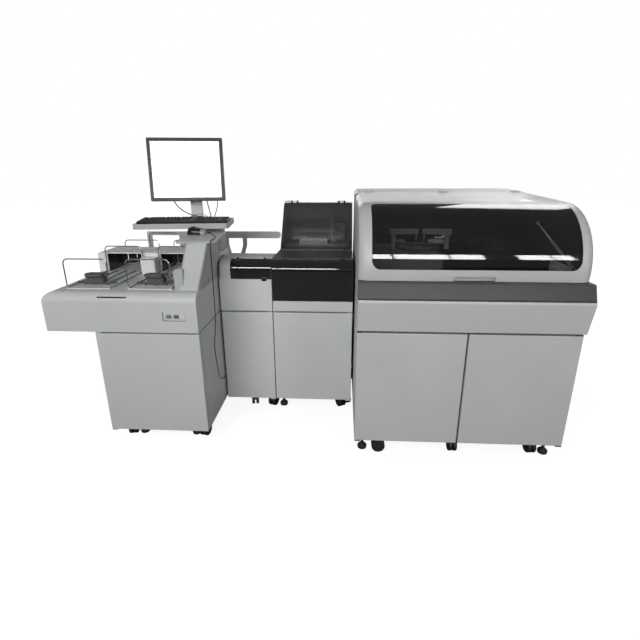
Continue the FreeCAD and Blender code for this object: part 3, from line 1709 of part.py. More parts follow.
def rear_rail():
    """Grey rail behind the modules, on two bent legs that stand on the feeder head."""
    bar_part = front_profile(
        (rail_y, rail_y + 30.0),
        rectangle((rail_left, rail_right), (rail_level, rail_level + rail_height), 14.0),
    )
    shapes = [bar_part]
    half = rail_leg_half
    for top_x, foot_x in rail_legs:
        bend = rail_level - rail_leg_bend
        leg = front_profile(
            (rail_y + 4.0, rail_y + 26.0),
            [
                (top_x - half, rail_level + 8.0),
                (top_x + half, rail_level + 8.0),
                (top_x + half, bend, 60.0),
                (foot_x + half, box_top),
                (foot_x - half, box_top),
                (top_x - half, bend, 60.0),
            ],
        )
        foot = block((foot_x - half - 4.0, foot_x + half), (rail_y - 2.0, rail_y + 32.0), (box_top, box_top + 5.0))
        shapes += [leg, foot]
    return joined(shapes)


def on_console(shape):
    """Turn a piece with the console about the table's front left corner."""
    return turned(shape, console_turn, table_corner_x, table_corner_y)


def keyboard_table():
    """Console table: rounded plate with a hollow underside, cable hole and its column."""
    x = (table_corner_x, table_corner_x + table_width)
    y = (table_corner_y, table_corner_y + table_depth)
    low = table_level - table_thickness
    plate = plan_profile((low, table_level), rectangle(x, y, 16.0))
    plate = fillet_where(plate, 3.0, lambda p, e: near(p.z, table_level))
    hollow = plan_profile(
        (low - 1.0, table_level - 8.0),
        rectangle((x[0] + 14.0, x[1] - 14.0), (y[0] + 14.0, y[1] - 14.0), 6.0),
    )
    plate = on_console(plate.cut(hollow))
    column_x = (column_left, column_right)
    column_y = (column_front, column_rear)
    column = plan_profile((tunnel_top, table_level - 7.0), rectangle(column_x, column_y, 14.0))
    flange = plan_profile(
        (tunnel_top, tunnel_top + 6.0),
        rectangle((column_x[0] - 8.0, column_x[1] + 8.0), (column_y[0] - 8.0, column_y[1] + 8.0), 8.0),
    )
    table = joined([plate, column, flange])
    hole = upright(cable_hole_x, cable_hole_y, cable_hole_radius, table_level - cable_hole_depth, table_level + 1.0)
    return table.cut(hole)


def keyboard():
    """Keyboard wedge with its key field in rows, on the console table."""
    x = (table_corner_x + 20.0, table_corner_x + 20.0 + keyboard_width)
    y = (table_corner_y + 5.0, table_corner_y + 5.0 + keyboard_depth)
    low = table_level
    base = side_profile(
        x,
        [(y[0], low, 0.0), (y[0], low + 12.0, 4.0), (y[1], low + 22.0, 5.0), (y[1], low)],
    )
    shapes = [base]
    rows = 6
    slope = 10.0 / keyboard_depth
    for row in range(rows):
        key_y = y[0] + 12.0 + row * 21.5
        if row == rows - 1:
            key_y += 6.0
        key_low = low + 12.0 + (key_y - y[0]) * slope - 1.5
        for left, right in ((x[0] + 10.0, x[0] + 300.0), (x[0] + 308.0, x[0] + 366.0), (x[0] + 374.0, x[1] - 24.0)):
            strip = block((left, right), (key_y, key_y + 18.0), (key_low, key_low + 8.0))
            shapes.append(strip)
    return on_console(joined(shapes))


def mouse():
    """Computer mouse lying across the shelf, cable end to the right."""
    body = block((mouse_x - 52.0, mouse_x + 52.0), (mouse_y - 30.0, mouse_y + 30.0), (shelf_level, shelf_level + 36.0))
    body = fillet_where(body, 27.0, lambda p, e: near(p.z, shelf_level + 18.0))
    body = fillet_where(body, 17.0, lambda p, e: near(p.z, shelf_level + 36.0))
    return turned(body, mouse_turn, mouse_x, mouse_y)


def monitor_place(shape):
    """Tilt and turn a piece from the monitor's own frame into place."""
    shape = shape.copy()
    shape.rotate(Vector(0, 0, 0), Vector(1, 0, 0), -monitor_tilt)
    shape.rotate(Vector(0, 0, 0), Vector(0, 0, 1), monitor_turn)
    shape.translate(Vector(monitor_x, monitor_y, monitor_z))
    return shape


def monitor():
    """Monitor housing in its own frame: hinge axis at the origin, screen towards -Y."""
    half_w = monitor_width / 2.0
    half_h = monitor_height / 2.0
    front = -monitor_axis_back
    slab = block((-half_w, half_w), (front, front + monitor_slab), (-half_h, half_h))
    slab = fillet_where(slab, 6.0, lambda p, e: near(abs(p.x), half_w) and near(abs(p.z), half_h))
    slab = fillet_where(slab, 2.0, lambda p, e: near(p.y, front))
    bulge_low = rounded_wire(
        rectangle((-half_w + 24.0, half_w - 24.0), (-half_h + 24.0, half_h - 24.0), 20.0),
        lambda p: Vector(p.x, front + monitor_slab - 0.5, p.y),
    )
    bulge_high = rounded_wire(
        rectangle((-half_w + 60.0, half_w - 60.0), (-half_h + 62.0, half_h - 62.0), 26.0),
        lambda p: Vector(p.x, front + 62.0, p.y),
    )
    body = slab.fuse(Part.makeLoft([bulge_low, bulge_high], True, True))
    screen = block(
        (-half_w + monitor_bezel, half_w - monitor_bezel),
        (front - 1.0, front + screen_recess),
        (-half_h + monitor_bezel, half_h - monitor_bezel),
    )
    body = body.cut(screen)
    bay = block((-130.0, 130.0), (-monitor_bay, 60.0), (-30.0, 34.0))
    body = body.cut(bay)
    chute = block((-150.0, 190.0), (-monitor_bay, 60.0), (-half_h, -20.0))
    body = body.cut(chute)
    for side in (-1.0, 1.0):
        low, high = sorted((side * 30.6, side * 42.0))
        ear = block((low + hinge_shift, high + hinge_shift), (-monitor_bay - 1.0, 2.0), (-9.0, 9.0))
        eye = bar(9.0, Vector(low + hinge_shift, 0, 0), Vector(high + hinge_shift, 0, 0))
        body = body.fuse(ear).fuse(eye)
    bore = bar(5.0 + pin_gap, Vector(-60.0 + hinge_shift, 0, 0), Vector(60.0 + hinge_shift, 0, 0))
    return monitor_place(body.cut(bore).removeSplitter())


def monitor_screen():
    """Screen panel set in the bezel."""
    half_w = monitor_width / 2.0 - monitor_bezel - fit_gap
    half_h = monitor_height / 2.0 - monitor_bezel - fit_gap
    front = -monitor_axis_back
    panel = block((-half_w, half_w), (front + 1.5, front + screen_recess), (-half_h, half_h))
    return monitor_place(panel)


def monitor_stand():
    """Monitor stand: oval foot, flat neck and the hinge barrel with its pin."""
    foot = plan_profile(
        (table_level, table_level + 9.0),
        rectangle((-75.0, 75.0), (-50.0, 50.0), 48.0),
    )
    neck = plan_profile(
        (table_level + 8.0, monitor_z - 24.0),
        rectangle((-neck_width / 2.0, neck_width / 2.0), (-9.0, 9.0), 7.0),
    )
    shapes = [foot, neck]
    for shape in shapes:
        shape.rotate(Vector(0, 0, 0), Vector(0, 0, 1), monitor_turn)
        shape.translate(Vector(neck_x, neck_y, 0.0))
    head = side_profile(
        (-30.0 + hinge_shift, 30.0 + hinge_shift),
        [(-8.0, -8.0), (8.0, -8.0), (28.0, -30.0), (28.0, -64.0), (8.0, -64.0), (8.0, -30.0), (-8.0, -12.0)],
    )
    barrel = bar(9.0, Vector(-30.0 + hinge_shift, 0, 0), Vector(30.0 + hinge_shift, 0, 0))
    pin = bar(5.0, Vector(-42.0 + hinge_shift, 0, 0), Vector(42.0 + hinge_shift, 0, 0))
    top = joined([head, barrel, pin])
    top.rotate(Vector(0, 0, 0), Vector(0, 0, 1), monitor_turn)
    top.translate(Vector(monitor_x, monitor_y, monitor_z))
    return joined(shapes + [top])


def caster(x, y, angle):
    """Twin-wheel caster: two wheels, axle, hooded fork and stem to the cabinet."""
    wheel_z = caster_wheel_radius + caster_lift
    half = caster_width / 2.0
    wheels = []
    for side in (-1.0, 1.0):
        low, high = sorted((side * 4.5, side * half))
        wheel = bar(caster_wheel_radius, Vector(low, caster_trail, wheel_z), Vector(high, caster_trail, wheel_z))
        wheel = fillet_where(wheel, 4.0, lambda p, e: near(abs(p.x), half))
        wheels.append(wheel)
    axle = bar(5.0, Vector(-half + 2.0, caster_trail, wheel_z), Vector(half - 2.0, caster_trail, wheel_z))
    fork = side_profile(
        (-4.0, 4.0),
        [
            (caster_trail - 12.0, wheel_z - 8.0, 6.0),
            (caster_trail + 10.0, wheel_z - 8.0, 6.0),
            (14.0, cabinet_bottom - 12.0),
            (-14.0, cabinet_bottom - 12.0),
        ],
    )
    hood = bar(22.0, Vector(0, 0, cabinet_bottom - 22.0), Vector(0, 0, cabinet_bottom - 5.0))
    plate = bar(27.0, Vector(0, 0, cabinet_bottom - 5.0), Vector(0, 0, cabinet_bottom))
    result = joined(wheels + [axle, fork, hood, plate])
    result.rotate(Vector(0, 0, 0), Vector(0, 0, 1), angle)
    result.translate(Vector(x, y, 0.0))
    return result


def levelling_foot(x, y, top):
    """Levelling foot: rubber pad, threaded stem and lock nut."""
    profile = [
        (0.0, 0.0),
        (foot_radius - 2.0, 0.0, 2.0),
        (foot_radius, 16.0, 6.0),
        (11.0, 30.0),
        (8.0, 32.0),
        (8.0, top - 12.0),
        (16.0, top - 12.0),
        (16.0, top),
        (0.0, top),
    ]
    wire = rounded_wire(profile, lambda p: Vector(p.x, 0.0, p.y))
    foot = Part.Face(wire).revolve(Vector(0, 0, 0), Vector(0, 0, 1), 360.0)
    foot.translate(Vector(x, y, 0.0))
    return foot


def cord_tube(points, diameter, name):
    """Tube along straight runs joined by the largest tangent arcs that the runs allow."""
    edges = []
    radii = []
    start = points[0]
    for index in range(1, len(points) - 1):
        before, here, after = points[index - 1], points[index], points[index + 1]
        incoming = here - before
        outgoing = after - here
        shorter = min(incoming.Length, outgoing.Length)
        turn = incoming.getAngle(outgoing)
        radius = 0.45 * shorter / math.tan(turn / 2.0)
        reach = 0.45 * shorter
        incoming.normalize()
        outgoing.normalize()
        arc_start = here - incoming * reach
        arc_end = here + outgoing * reach
        inward = outgoing - incoming
        inward.normalize()
        middle = here + inward * (radius / math.cos(turn / 2.0) - radius)
        edges.append(Part.makeLine(start, arc_start))
        edges.append(Part.Arc(arc_start, middle, arc_end).toShape())
        radii.append(radius)
        start = arc_end
    edges.append(Part.makeLine(start, points[-1]))
    path = Part.Wire(edges)
    first = points[1] - points[0]
    circle = Part.Wire(Part.makeCircle(diameter / 2.0, points[0], first))
    tube = path.makePipeShell([circle], True, False)
    expected = math.pi * diameter * diameter / 4.0 * path.Length
    print(name, "length", round(path.Length), "smallest radius", round(min(radii), 1),
          "volume ratio", round(tube.Volume / expected, 4))
    return tube


def mouse_lead_points():
    """Route of the mouse lead: over the shelf, straight down, then back into the gap between modules."""
    gap_x = transport_left - feeder_gap / 2.0
    lift = shelf_level + mouse_lead_diameter / 2.0 + 0.4
    return [
        Vector(mouse_x + 53.0, mouse_y + 2.0, shelf_level + 12.0),
        Vector(mouse_x + 74.0, mouse_y - 2.0, lift + 4.0),
        Vector(-762.0, 374.0, lift),
        Vector(-727.0, 310.0, lift),
        Vector(-716.0, 230.0, lift),
        Vector(-711.0, 152.0, lift + 2.0),
        Vector(-711.0, 151.0, 1040.0),
        Vector(-711.5, 143.0, 660.0),
        Vector(-727.0, 133.0, 570.0),
        Vector(-727.0, 140.0, 480.0),
        Vector(-727.0, 160.0, 400.0),
        Vector(-745.0, 230.0, 325.0),
        Vector(gap_x, 320.0, 262.0),
        Vector(gap_x, 395.0, lead_inlet_z + 2.0),
        Vector(gap_x, lead_inlet_y + 12.0, lead_inlet_z),
    ]


def keyboard_lead_points():
    """Route of the keyboard lead: an arch from the keyboard's back into the table's cable hole."""
    return [
        Vector(-984.0, 631.9, table_level + 13.0),
        Vector(-986.4, 649.0, table_level + 16.0),
        Vector(-966.0, 671.0, table_level + 28.0),
        Vector(-930.0, 679.0, table_level + 38.0),
        Vector(-893.0, 682.0, table_level + 31.0),
        Vector(-870.0, 684.0, table_level + 8.0),
        Vector(-867.0, 684.0, table_level - 26.0),
    ]


def power_lead_points():
    """Route of the monitor's power lead."""
    return [
        plug_seat(power_plug_x, power_plug[1]),
        Vector(-1094.0, 700.0, 1320.0),
        Vector(-1085.0, 692.0, 1240.0),
        Vector(-1040.0, 687.0, 1189.0),
        Vector(-972.0, 683.0, 1156.0),
        Vector(-908.0, 685.0, 1151.0),
        Vector(-868.0, 693.0, 1142.0),
        Vector(-861.0, 694.0, 1104.0),
    ]


def signal_lead_points():
    """Route of the monitor's signal lead."""
    return [
        plug_seat(signal_plug_x, signal_plug[1]),
        Vector(-900.0, 729.0, 1320.0),
        Vector(-890.0, 720.0, 1236.0),
        Vector(-864.0, 691.0, 1160.0),
        Vector(-855.0, 688.0, 1104.0),
    ]


def touch_lead_points():
    """Route of the touch screen's lead."""
    return [
        plug_seat(touch_plug_x, touch_plug[1]),
        Vector(-862.0, 738.0, 1320.0),
        Vector(-822.0, 731.0, 1238.0),
        Vector(-838.0, 698.0, 1160.0),
        Vector(-855.0, 697.0, 1134.0),
        Vector(-857.0, 698.0, 1104.0),
    ]


def plug_seat(x, thickness):
    """Middle of a plug that hangs just off the front wall of the monitor's rear bay."""
    return monitor_place(Part.Vertex(x, plug_gap + thickness / 2.0 - monitor_bay, plug_level)).Point


def plug(x, size):
    """Moulded plug round the upper end of a monitor lead, in place on the bay's wall."""
    width, thickness = size
    body = block(
        (x - width / 2.0, x + width / 2.0),
        (plug_gap - monitor_bay, plug_gap + thickness - monitor_bay),
        (plug_level - plug_height / 2.0, plug_level + plug_height / 2.0),
    )
    return monitor_place(body)


side_doors = (cabinet_bottom, side_door_top)
half_door = (main_width - main_door_split) / 2.0
main_doors = (cabinet_bottom, main_door_top)

pieces["main_frame"] = main_frame()
pieces["main_side_left"] = main_side_panel((0.0, side_sheet), 1.0)
pieces["main_side_right"] = main_side_panel((main_width - side_sheet, main_width), -1.0)
pieces["main_rear_housing"] = main_rear_housing()
pieces["main_deck"] = main_deck()
pieces["main_fascia"] = main_fascia()
pieces["stripe_band"] = stripe_band()
pieces["main_door_left"] = hinged_door((0.0, half_door), 0.0, main_doors, hinge_inset)
pieces["main_door_right"] = hinged_door(
    (main_width - half_door, main_width), 0.0, main_doors, main_width - hinge_inset
)
pieces["main_hood"] = main_hood()
pieces["hood_window"] = hood_window()
pieces["gas_strut_cylinder"] = strut_cylinder()
pieces["gas_strut_rod"] = strut_rod()
pieces["reagent_carousel"] = reagent_carousel()
pieces["cuvette_wheel"] = reaction_wheel()
pieces["sample_probe"] = probe_arm(sample_post_x, 1.0)
pieces["reagent_probe"] = probe_arm(reagent_post_x, -1.0)
pieces["mixer_unit"] = mixer_unit()
pieces["fluid_tanks"] = fluid_tanks()
pieces["pump_unit"] = pump_unit()

pieces["ise_cabinet"] = ise_cabinet()
pieces["ise_door"] = hinged_door(
    (electrolyte_left, electrolyte_right), side_front, side_doors, electrolyte_right - hinge_inset
)
pieces["ise_front_flap"] = ise_front_flap()
pieces["ise_deck"] = ise_deck()
pieces["ise_upper_housing"] = ise_upper_housing()
pieces["ise_upper_cover"] = ise_upper_cover()
pieces["ise_probe"] = ise_probe()
pieces["ise_unit"] = ise_unit()

pieces["transport_cabinet"] = transport_cabinet()
pieces["transport_door"] = hinged_door(
    (transport_left, transport_right), side_front, side_doors, transport_right - hinge_inset
)
pieces["transport_head"] = transport_head()
pieces["transport_cover"] = transport_cover()
pieces["rack_lane"] = rack_lane()
pieces["rear_rail"] = rear_rail()

pieces["feeder_cabinet"] = feeder_cabinet()
pieces["feeder_door"] = hinged_door(
    (feeder_left, feeder_right), feeder_front, (cabinet_bottom, feeder_door_top), feeder_left + hinge_inset
)
pieces["feeder_top_box"] = feeder_top_box()
pieces["tray_front_left"] = rack_tray(tray_left_x, tray_front_y, tray_front_length)
pieces["tray_front_right"] = rack_tray(tray_right_x, tray_front_y, tray_front_length)
rear_trays = [rack_tray(x, tray_rear_y, tray_rear_length) for x in (tray_left_x, tray_right_x)]
pieces["trays_rear"] = Part.makeCompound(rear_trays)
pieces["feeder_tunnel_cover"] = feeder_tunnel_cover()
pieces["feeder_side_tower"] = feeder_side_tower()
pieces["rack_pusher_left"] = rack_pusher(tray_left_x)
pieces["rack_pusher_right"] = rack_pusher(tray_right_x)
pieces["button_start"] = push_button(button_places[0])
pieces["button_stop"] = push_button(button_places[1])
pieces["button_reset"] = push_button(button_places[2])

pieces["keyboard_table"] = keyboard_table()
pieces["keyboard"] = keyboard()
pieces["mouse"] = mouse()
pieces["monitor"] = monitor()
pieces["monitor_screen"] = monitor_screen()
pieces["monitor_stand"] = monitor_stand()

caster_places = (
    (153.0, 60.0, 90.0),
    (515.0, 56.0, 0.0),
    (919.0, 60.0, 4.0),
    (150.0, 1050.0, 20.0),
    (880.0, 1050.0, -15.0),
    (-608.0, 480.0, 12.0),
    (-502.0, 470.0, -20.0),
    (-60.0, 480.0, 30.0),
    (-700.0, 1050.0, 0.0),
    (-70.0, 1050.0, 15.0),
    (-1230.0, 130.0, 10.0),
    (-830.0, 130.0, -12.0),
    (-1230.0, 1040.0, 0.0),
    (-830.0, 1040.0, 25.0),
)
pieces["casters"] = Part.makeCompound([caster(x, y, angle) for x, y, angle in caster_places])

foot_places = (
    (45.0, 83.0),
    (986.0, 83.0),
    (45.0, 1040.0),
    (986.0, 1040.0),
    (-430.0, 503.0),
    (-30.0, 560.0),
    (-430.0, 1050.0),
    (-1180.0, 170.0),
    (-880.0, 170.0),
    (-1030.0, 1040.0),
)
pieces["levelling_feet"] = Part.makeCompound([levelling_foot(x, y, cabinet_bottom) for x, y in foot_places])

pieces["mouse_lead"] = cord_tube(mouse_lead_points(), mouse_lead_diameter, "mouse_lead")
pieces["keyboard_lead"] = cord_tube(keyboard_lead_points(), keyboard_lead_diameter, "keyboard_lead")
leads = (
    ("monitor_power_lead", power_lead_points(), power_lead_diameter, power_plug_x, power_plug),
    ("monitor_signal_lead", signal_lead_points(), signal_lead_diameter, signal_plug_x, signal_plug),
    ("monitor_touch_lead", touch_lead_points(), touch_lead_diameter, touch_plug_x, touch_plug),
)
for name, points, diameter, plug_x, plug_size in leads:
    tube = cord_tube(points, diameter, name)
    pieces[name] = tube.fuse(plug(plug_x, plug_size)).removeSplitter()

for name, shape in pieces.items():
    shape.translate(to_origin)
    solids = shape.Solids
    closed = all(solid.isClosed() and solid.isValid() for solid in solids)
    if not closed or not solids:
        print("check", name, len(solids), closed)
    shape.exportStep("parts/" + name + ".step")
print(len(pieces), "pieces")
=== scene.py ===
import json
import math
import bpy
import numpy as np
from mathutils import Matrix, Vector


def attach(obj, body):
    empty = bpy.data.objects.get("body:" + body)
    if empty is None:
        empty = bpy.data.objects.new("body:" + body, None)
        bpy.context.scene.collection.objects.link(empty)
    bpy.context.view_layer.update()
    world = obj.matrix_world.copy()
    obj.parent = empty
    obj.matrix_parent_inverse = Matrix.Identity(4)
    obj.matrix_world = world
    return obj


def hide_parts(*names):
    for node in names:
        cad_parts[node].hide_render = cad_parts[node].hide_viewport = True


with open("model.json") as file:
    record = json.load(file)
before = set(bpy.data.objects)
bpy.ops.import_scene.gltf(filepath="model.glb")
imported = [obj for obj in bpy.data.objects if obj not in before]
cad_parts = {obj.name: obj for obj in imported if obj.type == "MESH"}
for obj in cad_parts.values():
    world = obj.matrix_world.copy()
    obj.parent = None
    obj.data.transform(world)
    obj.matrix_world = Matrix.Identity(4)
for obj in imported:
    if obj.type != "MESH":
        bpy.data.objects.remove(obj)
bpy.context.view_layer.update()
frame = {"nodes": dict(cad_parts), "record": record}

nodes = frame["nodes"]

# The part was drawn from the front left corner of the analyzing module, in millimetres.
# at() moves such a point (or a whole array of them) to the part's own frame, in metres.
drawingShift = np.array([249.5, -544.5, 0.0])


def at(points):
    # (drawing place + shift) / 1000
    return (np.asarray(points, float) + drawingShift) / 1000.0


def turn(points, degrees, pivot):
    # plan rotation of an array of points about an upright line
    c, s = math.cos(math.radians(degrees)), math.sin(math.radians(degrees))
    p = np.array(points, float)
    x, y = p[..., 0] - pivot[0], p[..., 1] - pivot[1]
    p[..., 0], p[..., 1] = pivot[0] + c * x - s * y, pivot[1] + s * x + c * y
    return p


# The camera stands where the photograph was taken from.

view = {
    "place": (-71.4, -1845.4, 1392.5),   # mm, drawing frame
    "down": 18.06,                       # degrees below level
    "left": 3.14,                        # degrees to the left of straight ahead
    "roll": -0.19,
    "lens": 23.66,                       # mm on a 36 mm sensor
    "shift": -0.0141,                    # the photograph was cut a little off centre
}


def makeCamera(v):
    data = bpy.data.cameras.new("photoCamera")
    data.lens, data.sensor_width, data.shift_y = v["lens"], 36.0, v["shift"]
    data.clip_start, data.clip_end = 0.05, 60.0
    camera = bpy.data.objects.new("photoCamera", data)
    bpy.context.scene.collection.objects.link(camera)
    turnIt = (Matrix.Rotation(math.radians(v["left"]), 4, "Z")
              @ Matrix.Rotation(math.radians(90.0 - v["down"]), 4, "X")
              @ Matrix.Rotation(math.radians(v["roll"]), 4, "Z"))
    camera.matrix_world = Matrix.Translation(Vector(at(v["place"]))) @ turnIt
    bpy.context.scene.camera = camera


makeCamera(view)
bpy.context.scene.view_settings.view_transform = "Standard"
print("camera placed")


def linear(hexText):
    # sRGB hex to linear RGBA: ((c + 0.055) / 1.055) ^ 2.4, or c / 12.92 below 0.04045
    c = np.array([int(hexText[i:i + 2], 16) for i in (0, 2, 4)]) / 255.0
    c = np.where(c <= 0.04045, c / 12.92, ((c + 0.055) / 1.055) ** 2.4)
    return (*c.tolist(), 1.0)


def add(tree, kind, sockets=None, links=None, **settings):
    # one node: its settings, its socket values, its links
    made = tree.nodes.new("ShaderNode" + kind)
    for key, value in settings.items():
        setattr(made, key, value)
    for key, value in (sockets or {}).items():
        made.inputs[key].default_value = value
    for key, value in (links or {}).items():
        tree.links.new(value, made.inputs[key])
    return made


def sheetOf(name, points, loopV=False, capU=False, inside=False):
    # grid of points (u rows, v columns) -> quads; the loop closes each row, caps close the first and last
    p = np.asarray(points, float)
    nu, nv = p.shape[:2]
    index = np.arange(nu * nv).reshape(nu, nv)
    if loopV:
        index = np.hstack([index, index[:, :1]])
    quads = np.stack([index[:-1, :-1], index[:-1, 1:], index[1:, 1:], index[1:, :-1]], -1).reshape(-1, 4)
    faces = quads.tolist()
    if capU:
        faces += [index[0, :nv].tolist()[::-1], index[nu - 1, :nv].tolist()]
    if inside:
        faces = [f[::-1] for f in faces]
    return meshOf(name, p.reshape(-1, 3), faces)


def meshOf(name, points, faces, smooth=True):
    mesh = bpy.data.meshes.new(name)
    mesh.from_pydata(at(points).tolist(), [], faces)
    mesh.polygons.foreach_set("use_smooth", [smooth] * len(mesh.polygons))
    mesh.update()
    made = bpy.data.objects.new(name, mesh)
    bpy.context.scene.collection.objects.link(made)
    return made


def soften(piece, width):
    # rounds every edge sharper than 35 degrees, width in millimetres
    bevel = piece.modifiers.new("roundedEdges", "BEVEL")
    bevel.width, bevel.segments = width / 1000.0, 2
    bevel.limit_method, bevel.angle_limit = "ANGLE", math.radians(35.0)


def copies(template, faces, offsets, scales):
    # one small shape repeated: every copy is template * scale + offset, all in one array
    points = template[None] * np.asarray(scales, float)[:, None] + np.asarray(offsets, float)[:, None]
    step = np.arange(len(offsets))[:, None] * len(template)
    allFaces = []
    for f in faces:
        allFaces += (np.asarray(f)[None] + step).tolist()
    return points.reshape(-1, 3), allFaces


def boxTemplate(top):
    # eight corners of a unit box whose top is drawn in to the given share
    low = np.array([[-1, -1, 0], [1, -1, 0], [1, 1, 0], [-1, 1, 0]], float) * 0.5
    high = low * top
    high[:, 2] = 1.0
    faces = [[3, 2, 1, 0], [4, 5, 6, 7], [0, 1, 5, 4], [1, 2, 6, 5], [2, 3, 7, 6], [3, 0, 4, 7]]
    return np.vstack([low, high]), faces


def roundedOutline(count, half, powers):
    # superellipse: x = a sign(cos t) |cos t|^p, y = b sign(sin t) |sin t|^q
    t = np.linspace(0.0, 2.0 * math.pi, count, endpoint=False)
    return np.stack([np.sign(np.cos(t)) * np.abs(np.cos(t)) ** powers[0] * half[0],
                     np.sign(np.sin(t)) * np.abs(np.sin(t)) ** powers[1] * half[1]], -1)


def lathe(name, centre, profile, sides):
    # profile of (radius, depth) carried round a Y axis: x = r cos a, z = -r sin a
    a = np.linspace(0.0, 2.0 * math.pi, sides, endpoint=False)
    r, h = (np.array(profile)[:, i, None] for i in (0, 1))
    ring = np.stack([r * np.cos(a), h + 0.0 * a, -r * np.sin(a)], -1)
    return sheetOf(name, ring + np.array(centre), loopV=True, capU=True)


# Cords: the routes of the CAD tubes as control points, in drawing millimetres.

cords = {
    "mouse_lead": dict(length=1.325, width=4.5, ends="object", stiffness="limp", lay="hanging", points=[
        (-807, 414, 1095), (-786, 410, 1089.65), (-762, 374, 1085.65), (-727, 310, 1085.65),
        (-716, 230, 1085.65), (-711, 152, 1087.65), (-711, 151, 1040), (-711.5, 143, 660), (-727, 133, 570),
        (-727, 140, 480), (-727, 160, 400), (-745, 230, 325), (-762, 320, 262), (-762, 395, 239),
        (-762, 452, 237)]),
    "keyboard_lead": dict(length=0.188, width=4.0, ends="object", stiffness="limp", lay="loose", points=[
        (-984, 631.9, 1145), (-986.4, 649, 1148), (-966, 671, 1160), (-930, 679, 1170), (-893, 682, 1163),
        (-870, 684, 1140), (-867, 684, 1106)]),
    "monitor_power_lead": dict(length=0.452, width=6.0, ends="object", stiffness="medium",
                               lay="hanging", points=[
        (-1092.6, 699.2, 1409.7), (-1094, 700, 1320), (-1085, 692, 1240), (-1040, 687, 1189),
        (-972, 683, 1156), (-908, 685, 1151), (-868, 693, 1142), (-861, 694, 1104)]),
    "monitor_signal_lead": dict(length=0.317, width=6.0, ends="object", stiffness="medium",
                                lay="hanging", points=[
        (-901.3, 731.2, 1409.8), (-900, 729, 1320), (-890, 720, 1236), (-864, 691, 1160), (-855, 688, 1104)]),
    "monitor_touch_lead": dict(length=0.325, width=4.5, ends="object", stiffness="limp",
                               lay="hanging", points=[
        (-870.5, 735.5, 1410.0), (-862, 738, 1320), (-822, 731, 1238), (-838, 698, 1160), (-855, 697, 1134),
        (-857, 698, 1104)]),
}


def makeCord(name, c):
    curve = bpy.data.curves.new(name + "_line", "CURVE")
    curve.dimensions = "3D"
    spline = curve.splines.new("NURBS")
    spline.points.add(len(c["points"]) - 1)
    for point, place in zip(spline.points, at(c["points"])):
        point.co = (*place, 1.0)
        # the bevel is 1 m, so each point's radius is the cord's own
        point.radius = c["width"] / 2000.0
    spline.order_u = 3
    spline.use_endpoint_u = True
    curve.bevel_depth = 1.0
    curve.bevel_resolution = 3
    curve.resolution_u = 10
    curve.use_fill_caps = True
    made = bpy.data.objects.new(name + "_line", curve)
    bpy.context.scene.collection.objects.link(made)
    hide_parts(name)
    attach(made, "base")
    return made


def tapered(name, first, towards, s):
    # round sleeve along the lead's first stretch: its radius falls from the first to the last value as
    # u^0.8, and its moulded ribs are a ripple of 0.35 (cos(2 pi ribs u) - 1) mm
    u = np.linspace(0.0, 1.0, 9 + 8 * s["ribs"])
    r = s["radii"][0] + (s["radii"][1] - s["radii"][0]) * u ** 0.8
    r = r + 0.35 * (np.cos(2.0 * math.pi * s["ribs"] * u) - 1.0)
    d = towards / np.linalg.norm(towards)
    side = np.cross(d, (0.0, 0.0, 1.0) if abs(d[2]) < 0.9 else (1.0, 0.0, 0.0))
    side /= np.linalg.norm(side)
    other = np.cross(side, d)
    a = np.linspace(0.0, 2.0 * math.pi, 20, endpoint=False)
    ring = (first + s["start"] + u[:, None, None] * s["length"] * d
            + r[:, None, None] * (np.cos(a)[:, None] * side + np.sin(a)[:, None] * other))
    return sheetOf(name, ring, loopV=True, capU=True, inside=True)


# width and thickness of each moulded plug, and its section at nine heights
plugs = {
    "monitor_power_lead": (22.0, 13.0),
    "monitor_signal_lead": (24.0, 11.0),
    "monitor_touch_lead": (15.0, 9.0),
}
plugLoft = {
    "heights": [6.0, 5.4, 2.0, 1.6, 1.0, 0.6, -3.0, -5.0, -6.0],
    "share": [0.94, 1.0, 1.0, 0.95, 0.95, 1.0, 0.97, 0.86, 0.6],
    "lean": -8.0, "turn": 9.8,      # degrees: back with the monitor's rear, then round with it
}


def makePlug(name, first, size, p):
    # rounded rectangle |x/a|^5 + |y/b|^5 = 1 lofted downwards, grooved once and drawn in at its foot
    outline = roundedOutline(28, (size[0] / 2.0, size[1] / 2.0), (0.4, 0.4))
    heights, share = np.array(p["heights"]), np.array(p["share"])
    loft = np.zeros((len(heights), len(outline), 3))
    loft[..., :2] = outline[None] * share[:, None, None]
    loft[..., 2] = heights[:, None]
    lean = math.radians(p["lean"])
    y, z = loft[..., 1].copy(), loft[..., 2].copy()
    loft[..., 1] = y * math.cos(lean) - z * math.sin(lean)
    loft[..., 2] = y * math.sin(lean) + z * math.cos(lean)
    return sheetOf(name, turn(loft, p["turn"], (0.0, 0.0)) + first, loopV=True, capU=True)


# sleeve of each lead: its start from the lead's first point (mm), both radii, length and moulded ribs
sleeves = {
    "mouse_lead": dict(start=(4.0, 0.0, 0.0), radii=(3.6, 2.5), length=22.0, ribs=3),
    "keyboard_lead": dict(start=(0.24, -1.71, -0.3), radii=(3.4, 2.3), length=14.0, ribs=2),
    "monitor_power_lead": dict(start=(0.0, 0.0, -4.0), radii=(5.1, 3.36), length=24.0, ribs=3),
    "monitor_signal_lead": dict(start=(0.0, 0.0, -4.0), radii=(5.1, 3.36), length=24.0, ribs=3),
    "monitor_touch_lead": dict(start=(0.0, 0.0, -4.0), radii=(3.825, 2.52), length=24.0, ribs=3),
}

cordPieces = []
for name, c in cords.items():
    line = makeCord(name, c)
    first, second = np.array(c["points"][:2], float)
    extra = [makePlug(name + "_plug", first, plugs[name], plugLoft)] if name in plugs else []
    extra.append(tapered(name + "_sleeve", first, second - first, sleeves[name]))
    for piece in extra:
        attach(piece, "base")
    cordPieces += [line] + extra
print("cords laid")

